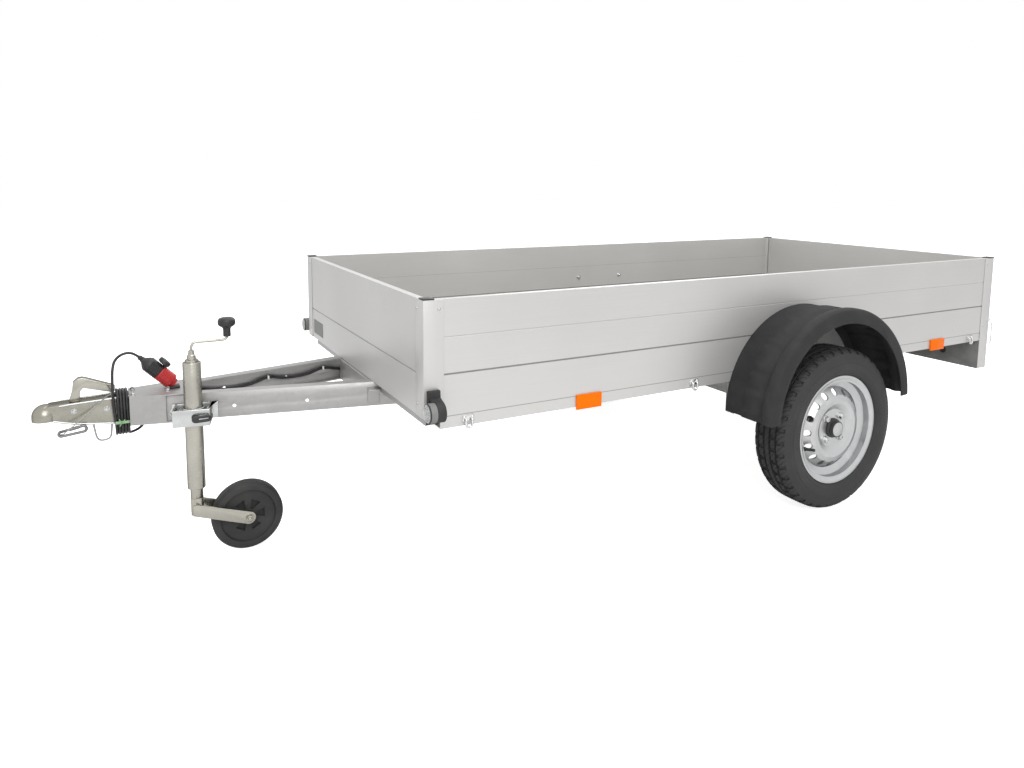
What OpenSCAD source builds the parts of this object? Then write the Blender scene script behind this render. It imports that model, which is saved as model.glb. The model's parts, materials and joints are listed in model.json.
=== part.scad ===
// Single-axle box trailer with a V drawbar, a ball coupling and a jockey wheel.
// Millimetres. +X is the trailer's left side, -Y is forward, +Z is up.
// The origin is on the ground, under the middle of the whole trailer.

/* [Load box] */
// Outer length of the load box
box_l = 2540; // [2000:10:3000]
// Outer width of the load box
box_w = 1210; // [1100:10:1500]
// Height of the box walls
wall_h = 312; // [250:1:450]
// Thickness of the hollow wall boards
wall_t = 20; // [16:1:25]
// Height of the wall's lower edge above the ground
deck_z = 468; // [460:1:560]
// Width of each leg of the corner posts
post_w = 57; // [45:1:70]
// Outer size of the tube inside each corner post
post_tube = 30; // [26:1:36]

/* [Chassis] */
// Distance from the front wall forward to the ball's centre
ball_ahead = 865; // [800:5:1100]
// Height of the ball's centre above the ground
ball_z = 434; // [420:1:480]
// Angle of each drawbar arm to the centreline
arm_angle = 12.2; // [10:0.1:16]
// Half the distance between the arms' outer faces at the front wall
arm_half_gap = 190; // [170:1:220]
// Height of the drawbar arms' section
arm_h = 75; // [60:1:80]
// Height of the side rails and floor bearers
rail_h = 32; // [25:1:40]

/* [Wheels] */
// Outer diameter of the tyres
tyre_d = 544; // [520:1:580]
// Width of the tyres
tyre_w = 138; // [130:1:165]
// Distance from the front wall back to the axle
axle_back = 1405; // [1300:5:1600]
// Clear gap between a tyre and the box wall
tyre_gap = 38; // [20:1:45]
// Length of the trailing suspension arms, measured along Y
trail = 120; // [90:1:140]
// Outer radius of the mudguards
guard_r = 341; // [320:1:350]

/* [Jockey wheel] */
// Distance from the centreline to the jockey tube's axis
jockey_x = 126; // [122:1:140]
// Distance from the front wall forward to the jockey tube's axis
jockey_ahead = 502; // [460:1:520]
// Outer diameter of the jockey tube
jockey_d = 48; // [40:1:50]
// Diameter of the jockey wheel
jockey_wheel_d = 200; // [180:1:210]
// Distance from the tube's axis back to the jockey wheel's axle
jockey_trail = 135; // [130:1:150]

/* [Hidden] */
$fn = 48;

// Places along the trailer
nose_r = 32;
hinge_back = 7;
knuckle_r = 8;
total_l = nose_r + ball_ahead + box_l + hinge_back + knuckle_r;
ball_y = -total_l / 2 + nose_r;
front_y = ball_y + ball_ahead;
rear_y = front_y + box_l;
axle_y = front_y + axle_back;

// Box
half_w = box_w / 2;
post_t = 2.5;
wall_out = half_w - post_t;
wall_in = wall_out - wall_t;
top_z = deck_z + wall_h;
seam_high = 100;
seam_low = 199;
floor_t = 12;
gate_z = deck_z + 6;
gate_half = half_w - post_tube - 6;
hinge_y = rear_y + hinge_back;
hinge_z = deck_z + 8;

// Chassis
rail_z = deck_z - rail_h;
arm_z = deck_z - arm_h;
arm_t = 3;
flange_w = 34;
arm_start = 600;
arm_run = axle_back - trail + 45 + arm_start;
arm_len = arm_run / cos(arm_angle);
arm_nose_x = arm_half_gap - arm_start * tan(arm_angle);
head_front = 660;
head_back = 500;
head_t = 4;
tube_w = 60;
tube_z = arm_z - 10 - tube_w / 2;
tube_y = axle_y - trail;
tube_half = 540;

// Wheels
wheel_z = tyre_d / 2;
wheel_x = half_w + tyre_gap + tyre_w / 2;
rim_w = 104;
flange_r = 182.2;
bead_r = 164.7;
well_r = 142;
mount_off = 30;
stud_circle = 50;

// Mudguards
guard_y = axle_y - 17;
guard_z = 342;
guard_short = 3;
guard_w = post_t + tyre_gap + tyre_w + 20;

// Rear lights
board_z = rail_z - 119;
board_y = rear_y - post_w - 3;
plate_z = board_z + 58;

// Jockey wheel
jockey_y = front_y - jockey_ahead;
jockey_r = jockey_d / 2;
leg_r = jockey_r - 7;
clamp_z = arm_z + 2;
clamp_h = 48;
tube_low = 207;
tube_top = 572;
wheel_r = jockey_wheel_d / 2;
axle_j_y = jockey_y + jockey_trail;

// Cords
cable_r = 3.8;
safety_r = 1.6;
head_z = arm_z - head_t;
coil_x = -18;
coil_w = 25;
coil_front = front_y - 690;
coil_half = 36;
coil_low = 364;
coil_high = 477.6;
coil_bend = 26;
// From the plug's sleeve, forward and down the near side to the front of the coil
plug_route = [for (p = [[0, -629.5, 573.5], [0.5, -645.7, 584.8], [3, -662, 587.3], [8, -679, 581.8],
    [17, -691.5, 569.3], [27, -697, 550], [35, -699, 525], [39, -699.5, 490], [39.8, -698.5, 455],
    [39.8, -696.5, 420], [39.8, -694.6, 396], [36.5, -693.9, 376.2], [26, -693.85, 364.7],
    [10, -693.85, 360.2], [-6, -693.85, 360.2]])
    p + [0, front_y, 0]];
// From the grommet to the back of the coil
root_route = [for (p = [[-18, -622, 382.5], [-18, -622.5, 376], [-15.5, -627, 368], [-9, -635.5, 362],
    [0, -644.5, 360], [10, -653, 360], [18, -658.5, 361.5], [24.9, -661.1, 364.2]])
    p + [0, front_y, 0]];
// From the eye on the coupling to the spring hook
safety_route = [for (p = [[10.4, -704, 474], [24, -711, 476], [37, -727, 468], [45, -755, 445],
    [50, -785, 420], [51, -806, 403], [48, -819, 392], [42.5, -826, 387], [36, -827.7, 386.2]])
    p + [0, front_y, 0]];

// Colours
galvanised = "#a9a9a3";
aluminium = "#c9cac8";
zinc = "#bdb69e";
black = "#242424";

module pair() {
    children();
    mirror([1, 0, 0]) children();
}

// A cylinder along X, from x0 to x1
module rod_x(x0, x1, r) {
    translate([x0, 0, 0]) rotate([0, 90, 0]) cylinder(h = x1 - x0, r = r);
}

// A cylinder along Y, from y0 to y1
module rod_y(y0, y1, r) {
    translate([0, y0, 0]) rotate([-90, 0, 0]) cylinder(h = y1 - y0, r = r);
}

// A block given by its two corners
module block(a, b) {
    translate(a) cube(b - a);
}

function blend(a, b, c, d, t) = 0.5 * (2 * b + (c - a) * t + (2 * a - 5 * b + 4 * c - d) * t * t
    + (3 * b - a - 3 * c + d) * t * t * t);

// A smooth curve through the points of a route, with some steps between each pair
function smooth(route, steps) = [
    for (i = [0:len(route) - 2], k = [0:steps - 1])
        blend(route[max(i - 1, 0)], route[i], route[i + 1], route[min(i + 2, len(route) - 1)],
            k / steps),
    route[len(route) - 1]];

function unit(v) = v / norm(v);

function heading(path, i) = unit(path[min(i + 1, len(path) - 1)] - path[max(i - 1, 0)]);

// A round cord along a path
module sweep(path, r, sides) {
    rings = [for (i = [0:len(path) - 1])
        let (ahead = heading(path, i), up = unit(cross([1, 0, 0.2], ahead)), across = cross(ahead, up))
            for (k = [0:sides - 1])
                path[i] + r * (cos(k * 360 / sides) * up + sin(k * 360 / sides) * across)];
    last = (len(path) - 1) * sides;
    polyhedron(rings, concat(
        [[for (k = [0:sides - 1]) k]],
        [for (i = [0:len(path) - 2], k = [0:sides - 1])
            let (a = i * sides + k, b = i * sides + (k + 1) % sides) [b, a, a + sides]],
        [for (i = [0:len(path) - 2], k = [0:sides - 1])
            let (a = i * sides + k, b = i * sides + (k + 1) % sides) [b, a + sides, b + sides]],
        [[for (k = [sides - 1:-1:0]) last + k]]));
}

// A rectangle centred on X with rounded corners
module round_rect(half, low, high, r) {
    union() {
        translate([-half + r, low]) square([2 * (half - r), high - low]);
        translate([-half, low + r]) square([2 * half, high - low - 2 * r]);
        for (x = [-half + r, half - r], y = [low + r, high - r]) translate([x, y]) circle(r = r);
    }
}

// Frame of the left arm: its outer face at x 0, its length along +Y
module on_arm() {
    translate([arm_nose_x, front_y - arm_start, arm_z]) rotate([0, 0, -arm_angle]) children();
}

// Folded channel, open towards the centreline
module drawbar_arm() {
    color(galvanised) on_arm() difference() {
        block([-flange_w, 0, 0], [0, arm_len, arm_h]);
        block([-flange_w - 1, -1, arm_t], [-arm_t, arm_len + 1, arm_h - arm_t]);
        for (along = [215, 420]) translate([0, along, arm_h * 0.42]) rod_x(-arm_t - 1, 1, 5);
        for (along = [arm_len - 95, arm_len - 35]) translate([-17, along, -1])
            cylinder(h = arm_t + 2, r = 6.5);
    }
}

module drawbar_arm_left() {
    drawbar_arm();
}

module drawbar_arm_right() {
    mirror([1, 0, 0]) drawbar_arm();
}

function head_x(ahead, inset) = arm_half_gap - ahead * tan(arm_angle) + head_t + 0.5 - inset;

module head_plan(inset) {
    polygon([[-head_x(head_front, inset), -head_front - inset],
        [head_x(head_front, inset), -head_front - inset],
        [head_x(head_back, inset), -head_back + inset],
        [-head_x(head_back, inset), -head_back + inset]]);
}

// Folded shoe that holds the front ends of both arms and the coupling
module drawbar_head() {
    color(galvanised) translate([0, front_y, 0]) difference() {
        translate([0, 0, arm_z - head_t]) linear_extrude(arm_h + 2 * head_t) head_plan(0);
        translate([0, 0, arm_z]) linear_extrude(arm_h) head_plan(head_t);
        block([-head_x(head_front, head_t), -head_front - 1, arm_z],
            [head_x(head_front, head_t), -head_front + 10, arm_z + arm_h]);
        block([-head_x(head_back, head_t), -head_back - 10, arm_z],
            [head_x(head_back, head_t), -head_back + 1, arm_z + arm_h]);
        block([-300, -head_back - 68, arm_z], [300, -head_back + 1, arm_z + arm_h]);
        translate([0, -head_back - 62, deck_z]) cylinder(h = 20, r = 5, center = true);
    }
}

// Cross tie under the front wall, joined to each arm by an angle
module drawbar_brackets() {
    inner_x = arm_half_gap - flange_w / cos(arm_angle);
    color(galvanised) translate([0, front_y, 0]) {
        difference() {
            block([-inner_x - 8, -4, arm_z + 2], [inner_x + 8, 36, arm_z + arm_h - 2]);
            block([-inner_x - 9, -1, arm_z + 5], [inner_x + 9, 37, arm_z + arm_h - 5]);
            pair() translate([inner_x - 13.3, -60, arm_z - 1]) rotate([0, 0, -arm_angle])
                cube([60, 160, arm_h + 2]);
        }
        pair() translate([arm_half_gap + 1.7, 6, arm_z + 8]) rotate([0, 0, -arm_angle]) {
            block([0, -22, 0], [4, 14, 52]);
            block([0, -22, 48], [38, 14, 52]);
        }
    }
}

module arm_clearance() {
    pair() on_arm() block([-flange_w - 1, -1, -1], [1, arm_len + 1, arm_h + 1]);
}

// Hollow bearers across the floor, each cut where the arms pass
module floor_bearers() {
    rows = [22, box_l * 0.28, box_l * 0.47, box_l * 0.67, box_l * 0.84];
    color(galvanised) difference() {
        for (back = rows) translate([0, front_y + back, rail_z]) difference() {
            block([-wall_out + 42, 0, 0], [wall_out - 42, 40, rail_h]);
            block([-wall_out, 2, 2], [wall_out, 38, rail_h - 2]);
        }
        arm_clearance();
        block([-arm_half_gap, front_y - 1, rail_z - 1], [arm_half_gap, front_y + 70, deck_z + 1]);
    }
}

module floor_panel() {
    color("#6a5138") difference() {
        block([-wall_in, front_y + post_t + wall_t, deck_z],
            [wall_in, rear_y - post_t - wall_t - 8, deck_z + floor_t]);
        pair() block([half_w - post_tube - 0.3, front_y, deck_z - 1],
            [half_w, front_y + post_tube + 0.3, deck_z + floor_t + 1]);
    }
}

// Folded edge rail under a side wall
module side_rail() {
    color(aluminium) difference() {
        block([wall_out - 42, front_y + 47, rail_z], [wall_out, rear_y - post_w - 1, deck_z]);
        block([wall_out - 43, front_y + 46, rail_z + 3],
            [wall_out - 3, rear_y - post_w, deck_z - 3]);
    }
}

module side_rail_left() {
    side_rail();
}

module side_rail_right() {
    mirror([1, 0, 0]) side_rail();
}

// Sill under the tailgate, with the chassis halves of the tailgate hinges
module rear_sill() {
    color(galvanised) {
        difference() {
            block([-half_w + 22.3, rear_y - post_w + 2, rail_z], [half_w - 22.3, rear_y, deck_z]);
            block([-half_w, rear_y - post_w + 1, rail_z + 3], [half_w, rear_y - 3, deck_z - 3]);
        }
        for (side = [-1, 1], step = [-15, 15]) translate([side * 430 + step, 0, 0]) difference() {
            union() {
                block([-2.5, rear_y, deck_z - 22], [2.5, hinge_y, hinge_z + 8]);
                translate([0, hinge_y, hinge_z]) rod_x(-2.5, 2.5, knuckle_r);
            }
            block([-3, rear_y - 1, deck_z + 0.5], [3, rear_y - 0.5, hinge_z + 9]);
            translate([0, hinge_y, hinge_z]) rod_x(-3, 3, 4.2);
        }
    }
}

// Square axle tube with its two mounting plates
module axle_beam() {
    plate_x = arm_half_gap + (axle_back - trail) * tan(arm_angle);
    color(galvanised) translate([0, tube_y, tube_z]) {
        difference() {
            block([-tube_half, -tube_w / 2, -tube_w / 2], [tube_half, tube_w / 2, tube_w / 2]);
            block([-tube_half - 1, -tube_w / 2 + 4, -tube_w / 2 + 4],
                [tube_half + 1, tube_w / 2 - 4, tube_w / 2 - 4]);
        }
        pair() difference() {
            block([plate_x - 60, -65, tube_w / 2], [plate_x + 25, 65, tube_w / 2 + 10]);
            for (along = [-50, 10]) translate([plate_x - 17 + along * tan(arm_angle), along, 0])
                cylinder(h = 60, r = 6.5);
        }
    }
}

// Trailing arm with its stub axle
module suspension_arm() {
    arm_x = tube_half + 3;
    color(galvanised) {
        translate([arm_x, 0, 0]) {
            hull() {
                translate([0, tube_y, tube_z]) rod_x(0, 18, 32);
                translate([0, axle_y, wheel_z]) rod_x(0, 18, 26);
            }
        }
        translate([0, tube_y, tube_z]) block([arm_x - 60, -18, -18], [arm_x + 1, 18, 18]);
        translate([0, axle_y, wheel_z]) {
            rod_x(arm_x + 17, wheel_x - 32, 22);
            rod_x(wheel_x - 33, wheel_x + mount_off + 4, 12);
        }
    }
}

module suspension_arm_left() {
    suspension_arm();
}

module suspension_arm_right() {
    mirror([1, 0, 0]) suspension_arm();
}

// Section of the wall boards: hollow cells, a groove at each seam, a rim at the top.
// X is the thickness (outside at 0), Y is the height.
module wall_section(seams, high) {
    difference() {
        translate([-wall_t, 0]) square([wall_t, high]);
        for (down = seams) let (deep = down == seam_high ? 0.6 : 2)
            translate([0, high - down]) polygon([[1, -3], [-deep, -1], [-deep, 1], [1, 3]]);
        cells = concat([0], seams, [high]);
        for (i = [0:len(cells) - 2]) translate([-wall_t + 2, high - cells[i + 1] + 2.5])
            square([wall_t - 6, cells[i + 1] - cells[i] - 5]);
    }
}

// A wall along +Y with its outer face towards +X
module wall(length, seams, high) {
    translate([0, length, 0]) rotate([90, 0, 0]) linear_extrude(length) wall_section(seams, high);
}

module side_wall() {
    color(aluminium) translate([wall_out, front_y + post_tube, deck_z])
        wall(box_l - 2 * post_tube, [seam_high, seam_low], wall_h);
}

module side_wall_left() {
    side_wall();
}

module side_wall_right() {
    mirror([1, 0, 0]) side_wall();
}

module front_wall() {
    color(aluminium) translate([-half_w + post_tube, front_y + post_t, deck_z]) rotate([0, 0, -90])
        wall(box_w - 2 * post_tube, [seam_low], wall_h);
}

// Angle with a square tube in its corner; the corner is at the origin, legs to -X and +Y
module post_section() {
    difference() {
        union() {
            translate([-post_w, 0]) square([post_w, post_t]);
            translate([-post_t, 0]) square([post_t, post_w]);
            translate([-post_tube, 0]) square(post_tube);
        }
        translate([-post_tube + post_t, post_t]) square(post_tube - 2 * post_t);
    }
}

module front_posts() {
    color(aluminium) pair() translate([half_w, front_y, deck_z]) linear_extrude(wall_h)
        post_section();
}

// The rear posts run down past the floor and carry the light board
module rear_posts() {
    color(aluminium) pair() translate([half_w, rear_y, 0]) mirror([0, 1, 0]) {
        translate([0, 0, deck_z]) linear_extrude(wall_h) difference() {
            post_section();
            translate([-post_w - 1, -1]) square([post_w - post_tube + 1, 10]);
        }
        translate([0, 0, board_z]) linear_extrude(deck_z - board_z) union() {
            translate([-post_t, 0]) square([post_t, post_w]);
            translate([-22, 0]) square([22, post_t]);
        }
    }
}

module corner_caps() {
    color(black) pair() for (end = [0, 1])
        translate([half_w, end ? rear_y : front_y, top_z]) mirror([0, end, 0])
            block([-post_tube - 1, -1, 0], [1, post_tube + 1, 4]);
}

module tailgate() {
    gate_h = top_z - gate_z;
    color(aluminium) {
        translate([gate_half - 14, rear_y - 4, gate_z]) rotate([0, 0, 90])
            wall(2 * gate_half - 28, [seam_low], gate_h);
        pair() difference() {
            block([gate_half - 14, rear_y - 4 - wall_t, gate_z], [gate_half, rear_y - 4, top_z]);
            block([gate_half - 12, rear_y - 2 - wall_t, gate_z - 1],
                [gate_half - 2, rear_y - 6, top_z + 1]);
        }
    }
    color(galvanised) for (side = [-1, 1]) translate([side * 430, 0, 0]) difference() {
        union() {
            block([-11.5, rear_y - 5, gate_z + 10], [11.5, rear_y + 1, gate_z + 40]);
            block([-11.5, rear_y - 3.5, hinge_z], [11.5, hinge_y + 3, gate_z + 16]);
            translate([0, hinge_y, hinge_z]) rod_x(-11.5, 11.5, knuckle_r);
        }
        translate([0, hinge_y, hinge_z]) rod_x(-12, 12, 4.2);
        block([-12, rear_y - 6, hinge_z - 10], [12, rear_y - 3.5, gate_z + 1]);
    }
}

// Spring catches on the tailgate's upper corners
module tailgate_latches() {
    color(zinc) pair() translate([gate_half - 34, rear_y - 4, top_z - 78]) {
        block([-16, 0, 0], [16, 3, 56]);
        block([-9, 2, 8], [9, 10, 48]);
        translate([0, 7, 28]) rod_x(8, 34, 5);
    }
}

module hinge_pins() {
    color(zinc) for (side = [-1, 1]) translate([side * 430, hinge_y, hinge_z]) {
        rod_x(-22, 22, 3.9);
        rod_x(-24, -18, 7);
        rod_x(18, 24, 7);
    }
}

module light_board() {
    board_half = half_w - post_t - 1;
    color("#8b8d8c") difference() {
        union() {
            block([-board_half, board_y, board_z], [board_half, board_y + 2.5, rail_z]);
            block([-board_half, board_y, board_z], [board_half, board_y + 16, board_z + 2.5]);
            block([-board_half, board_y, rail_z - 2.5], [board_half, board_y + 30, rail_z]);
            pair() block([board_half - 2.5, board_y, board_z], [board_half, board_y + 40, rail_z]);
        }
        block([-262, board_y + 2.5, board_z - 1], [262, board_y + 31, rail_z + 1]);
        pair() translate([455, board_y - 1, board_z + 52]) rod_y(0, 8, 15);
        for (side = [-1, 1]) translate([side * 240, board_y - 1, plate_z]) rod_y(0, 8, 2.8);
    }
}

module tail_lamps() {
    color("#b01515") pair() translate([345, board_y + 2.5, board_z + 9]) difference() {
        block([0, 0, 0], [218, 46, 98]);
        for (step = [72, 146]) block([step, 44.5, -1], [step + 2, 47, 99]);
    }
}

// Blank plate with its holder and lamp
module number_plate() {
    color("#e8e8e4") difference() {
        block([-260, board_y + 2.5, plate_z - 55], [260, board_y + 6, plate_z + 55]);
        for (side = [-1, 1]) translate([side * 240, board_y - 1, plate_z]) rod_y(0, 10, 2.8);
    }
    color(black) block([-45, board_y + 6, plate_z + 33], [45, board_y + 40, plate_z + 55]);
}

// Rubber arm low on the front post, with a round lamp facing forward
module front_lamp() {
    lamp_x = half_w + 46;
    lamp_z = deck_z + 31;
    color(black) {
        block([half_w, front_y + 8, deck_z + 12], [half_w + 12, front_y + 42, deck_z + 76]);
        hull() {
            block([half_w, front_y + 12, deck_z + 12], [half_w + 12, front_y + 42, deck_z + 58]);
            translate([lamp_x, front_y, lamp_z]) rod_y(12, 34, 26);
        }
    }
    color("#e4e6e4") translate([lamp_x, front_y, lamp_z]) rod_y(-10, 12, 25);
}

module front_lamp_left() {
    front_lamp();
}

module front_lamp_right() {
    mirror([1, 0, 0]) front_lamp();
}

module side_reflectors() {
    color("#ff7a00") pair() for (back = [471, box_l - 396])
        translate([wall_out, front_y + back, rail_z - 8]) block([0, 0, 0], [6, 87, 43]);
}

// Bent wire eyes on the side rails
module rope_hooks() {
    color(zinc) pair() for (back = [127, 917, box_l - 697, box_l - 129])
        translate([wall_out, front_y + back, rail_z + rail_h / 2]) {
            block([0, -7, -8], [3, 7, 8]);
            translate([9, 0, -12]) rotate([0, 90, 0]) difference() {
                cylinder(h = 6, r = 15, center = true);
                cylinder(h = 7, r = 9.5, center = true);
            }
            block([0, -4, -1], [10, 4, 4]);
        }
}

// Section across the guard: X is the radius, Y the distance out from the wall
module guard_section() {
    edge = guard_w;
    r = guard_r;
    polygon([[r - 12, 0], [r - 12, edge * 0.34], [r - 6, edge * 0.39], [r - 6, edge * 0.66],
        [r - 11, edge * 0.71], [r - 11, edge * 0.77], [r, edge * 0.83], [r, edge - 14],
        [r - 5, edge - 5], [r - 16, edge], [r - 48, edge], [r - 48, edge - 4],
        [r - 17, edge - 4], [r - 8.5, edge - 8], [r - 4, edge - 15], [r - 4, edge * 0.83 + 1],
        [r - 15, edge * 0.77 + 1], [r - 15, edge * 0.71 - 1], [r - 10, edge * 0.66 - 1],
        [r - 10, edge * 0.39 + 1], [r - 16, edge * 0.34 + 1], [r - 16, 0]]);
}

module mudguard() {
    color("#3a3a3a") {
        translate([wall_out, guard_y, guard_z]) rotate([90, 0, 90]) {
            rotate([0, 0, guard_short]) rotate_extrude(angle = 180 - guard_short, $fn = 96)
                guard_section();
            difference() {
                rotate([0, 0, guard_short]) rotate_extrude(angle = 180 - guard_short, $fn = 96)
                    translate([guard_r - 51, 0]) square([36, 3]);
                translate([0, 0, -1]) cylinder(h = 6, r = guard_r - 51.5);
            }
        }
    }
}

module mudguard_left() {
    mudguard();
}

module mudguard_right() {
    mirror([1, 0, 0]) mudguard();
}

// Steel straps from the side rails down to the guards' ends
module mudguard_stays() {
    color(black) pair() for (dir = [-1, 1])
        translate([wall_out, guard_y + dir * (guard_r - 28), 0]) {
            block([-6, -10, guard_z - 5], [-1, 10, rail_z]);
            block([-6, -10, guard_z - 5], [30, 10, guard_z]);
        }
}

module type_plate() {
    color("#4a4c4c") block([-half_w + 80, front_y + post_t - 1.2, deck_z + 22],
        [-half_w + 205, front_y + post_t, deck_z + 74]);
}

// Side outline of the coupling, back from the ball; Y is the height above its centre
module coupling_side() {
    polygon([[-6, -13], [20, -13], [70, -26], [205, -42], [205, 36], [30, 30], [10, 29], [-6, 20]]);
}

module coupling_plan(half) {
    polygon([[-10, -half + 4], [40, -half + 2], [90, -half], [205, -half], [205, half],
        [90, half], [40, half - 2], [-10, half - 4]]);
}

// Frame of the coupling: its origin at the ball's centre
module on_ball() {
    translate([0, ball_y, ball_z]) children();
}

// Pressed cup and channel, open below
module coupling_head() {
    color(zinc) on_ball() difference() {
        union() {
            intersection() {
                translate([-30, 0, 0]) rotate([90, 0, 90]) linear_extrude(60) coupling_side();
                translate([0, 0, -50]) rotate([0, 0, 90]) linear_extrude(100) coupling_plan(28);
            }
            intersection() {
                sphere(r = nose_r);
                block([-40, -40, -12], [40, 40, 40]);
            }
            translate([0, 0, -12]) cylinder(h = 12, r = nose_r);
        }
        sphere(r = 25.4);
        translate([0, 0, -20]) cylinder(h = 20, r = 25.4);
        translate([-24.5, 0, 0]) rotate([90, 0, 90]) linear_extrude(49)
            polygon([[34, -60], [210, -60], [210, 33], [34, 27]]);
    }
}

module coupling_handle() {
    color(zinc) on_ball() difference() {
        translate([-12, 0, 0]) rotate([90, 0, 90]) linear_extrude(24)
            polygon([[58, 32.3], [84, 32.3], [86, 58], [94, 68], [156, 49.5], [168, 48.4], [173, 53],
                [172, 62], [166, 67], [104, 93], [92, 97], [82, 96], [70, 86], [66, 58]]);
        translate([-9.5, 0, 0]) rotate([90, 0, 90]) linear_extrude(19)
            polygon([[62, 20], [74, 60], [80, 84], [92, 90], [102, 87], [162, 62], [162, 20]]);
    }
}

// Bent wire under the coupling that the safety cable passes through
module cable_loop() {
    color(zinc) translate([0, front_y - 728, ball_z]) {
        translate([0, 0, -68]) rotate([90, 0, 90]) rotate_extrude(angle = -180)
            translate([22, 0]) circle(r = 3);
        for (step = [-22, 22]) translate([0, step, -68]) cylinder(h = 42, r = 3);
        block([-24.5, -28, -28], [24.5, 28, -24.5]);
    }
}

// Eye on the coupling's top that holds the safety cable
module cable_anchor() {
    color(zinc) translate([0, front_y - 702, ball_z + 34.9]) {
        cylinder(h = 8, r = 9);
        translate([0, 0, 8]) cylinder(h = 4, r = 6, $fn = 6);
    }
}

// Spring hook that clips the cable's end to the wire loop
module snap_hook() {
    color("#6f7070") translate([34, front_y - 801, ball_z - 44]) rotate([8, 0, 0]) difference() {
        translate([-3, 0, 0]) rotate([90, 0, 90]) linear_extrude(6) hull() {
            translate([-26, 0]) circle(r = 12);
            translate([26, 0]) circle(r = 14);
        }
        translate([-4, 0, 0]) rotate([90, 0, 90]) linear_extrude(8) hull() {
            translate([-12, 0]) circle(r = 6);
            translate([27, 0]) circle(r = 8);
        }
        translate([-4, -27, 0]) rotate([90, 0, 90]) cylinder(h = 8, r = 5);
    }
}

module safety_cable() {
    color("#9a9c9c") sweep(smooth(safety_route, 4), safety_r, 8);
}

plug_base = [0, front_y - 545, deck_z + head_t + 7];
plug_tilt = 45;

// Red parking socket on the drawbar head
module plug_holder() {
    color("#c02020") {
        block(plug_base + [-20, -12, -7], plug_base + [20, 22, 5]);
        translate(plug_base + [0, 6, 4]) rotate([plug_tilt, 0, 0]) {
            cylinder(h = 20, r = 16);
            translate([0, 0, 20]) cylinder(h = 36, r = 24);
        }
    }
}

module plug() {
    color(black) translate(plug_base + [0, 6, 4]) rotate([plug_tilt, 0, 0]) {
        translate([0, 0, 56]) cylinder(h = 40, r = 24);
        translate([0, 0, 96]) cylinder(h = 16, r1 = 24, r2 = 10);
        translate([0, 0, 112]) cylinder(h = 16, r = 7);
    }
}

// Rubber grommet under the head, where the plug's cable comes out
module cable_grommet() {
    color(black) translate([coil_x, front_y - 622, head_z - 8]) difference() {
        cylinder(h = 8, r = 10);
        translate([0, 0, -1]) cylinder(h = 6, r = cable_r);
    }
}

module plug_cable() {
    color(black) sweep(smooth(plug_route, 3), cable_r, 10);
}

module plug_cable_root() {
    color(black) sweep(smooth(root_route, 2), cable_r, 10);
}

// The cable's turns round the coupling's neck, as one closed ring
module plug_cable_coil() {
    color(black) translate([0, coil_front + coil_w, 0]) rotate([90, 0, 0]) linear_extrude(coil_w)
        difference() {
            round_rect(coil_half + 2 * cable_r, coil_low - 2 * cable_r, coil_high + 2 * cable_r,
                coil_bend + 2 * cable_r);
            round_rect(coil_half, coil_low, coil_high, coil_bend);
        }
}

module wiring_loom() {
    color(black) mirror([1, 0, 0]) on_arm() translate([-11, 0, 42]) rod_y(60, arm_len - 120, 5);
}

// Folded bracket bolted to the left arm, with the ring that holds the tube
module jockey_clamp() {
    stand_off = (jockey_x - arm_half_gap + jockey_ahead * tan(arm_angle)) * cos(arm_angle);
    color("#c8c8c4") translate([jockey_x, jockey_y, clamp_z]) linear_extrude(clamp_h) difference() {
        union() {
            circle(r = jockey_r + 6);
            rotate([0, 0, -arm_angle]) translate([-stand_off + 0.2, -62]) square([6, 124]);
            rotate([0, 0, -arm_angle]) translate([-stand_off + 1, -22]) square([stand_off, 44]);
            rotate([0, 0, -arm_angle]) difference() {
                translate([-stand_off + 1, -52]) square([stand_off + 33, 98]);
                translate([-stand_off + 6, -47]) square([stand_off + 24, 88]);
            }
        }
        circle(r = jockey_r + 0.4);
    }
}

// Screw with a cross bar that holds the tube in its ring
module clamp_handle() {
    color(black) translate([jockey_x, jockey_y, clamp_z + 27]) {
        rod_x(36.6, 56, 5);
        translate([58, 0, 0]) rod_y(-10, 40, 5.5);
    }
}

module jockey_tube() {
    color(zinc) translate([jockey_x, jockey_y, 0]) {
        difference() {
            translate([0, 0, tube_low]) cylinder(h = tube_top - tube_low, r = jockey_r);
            translate([0, 0, tube_low - 1]) cylinder(h = tube_top - tube_low - 5, r = jockey_r - 3);
            translate([0, 0, tube_low]) cylinder(h = 400, r = 8.3);
        }
    }
}

// Crank with its screw rod inside the tube
module jockey_crank() {
    crank_z = 632;
    color(zinc) translate([jockey_x, jockey_y, 0]) {
        translate([0, 0, 224]) cylinder(h = crank_z - 224, r = 8);
        translate([0, 0, tube_top + 0.6]) cylinder(h = 26, r = 13, $fn = 6);
        translate([0, 0, crank_z - 6]) rod_y(-6, 98, 7);
        translate([0, 96, crank_z - 10]) cylinder(h = 24, r = 6);
    }
    color(black) translate([jockey_x, jockey_y + 96, crank_z]) {
        translate([0, 0, 11]) cylinder(h = 21, r = 11);
        translate([0, 0, 32]) cylinder(h = 26, r = 24);
    }
}

// Inner tube that the screw drives up and down
module jockey_leg() {
    color(zinc) translate([jockey_x, jockey_y, 0]) difference() {
        union() {
            translate([0, 0, 178]) cylinder(h = 36, r = leg_r);
            translate([0, 0, 214]) cylinder(h = 254, r = jockey_r - 3.4);
            translate([0, 0, 126]) cylinder(h = 53, r = 8);
        }
        translate([0, 0, 190]) cylinder(h = 290, r = 8.5);
    }
}

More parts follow.
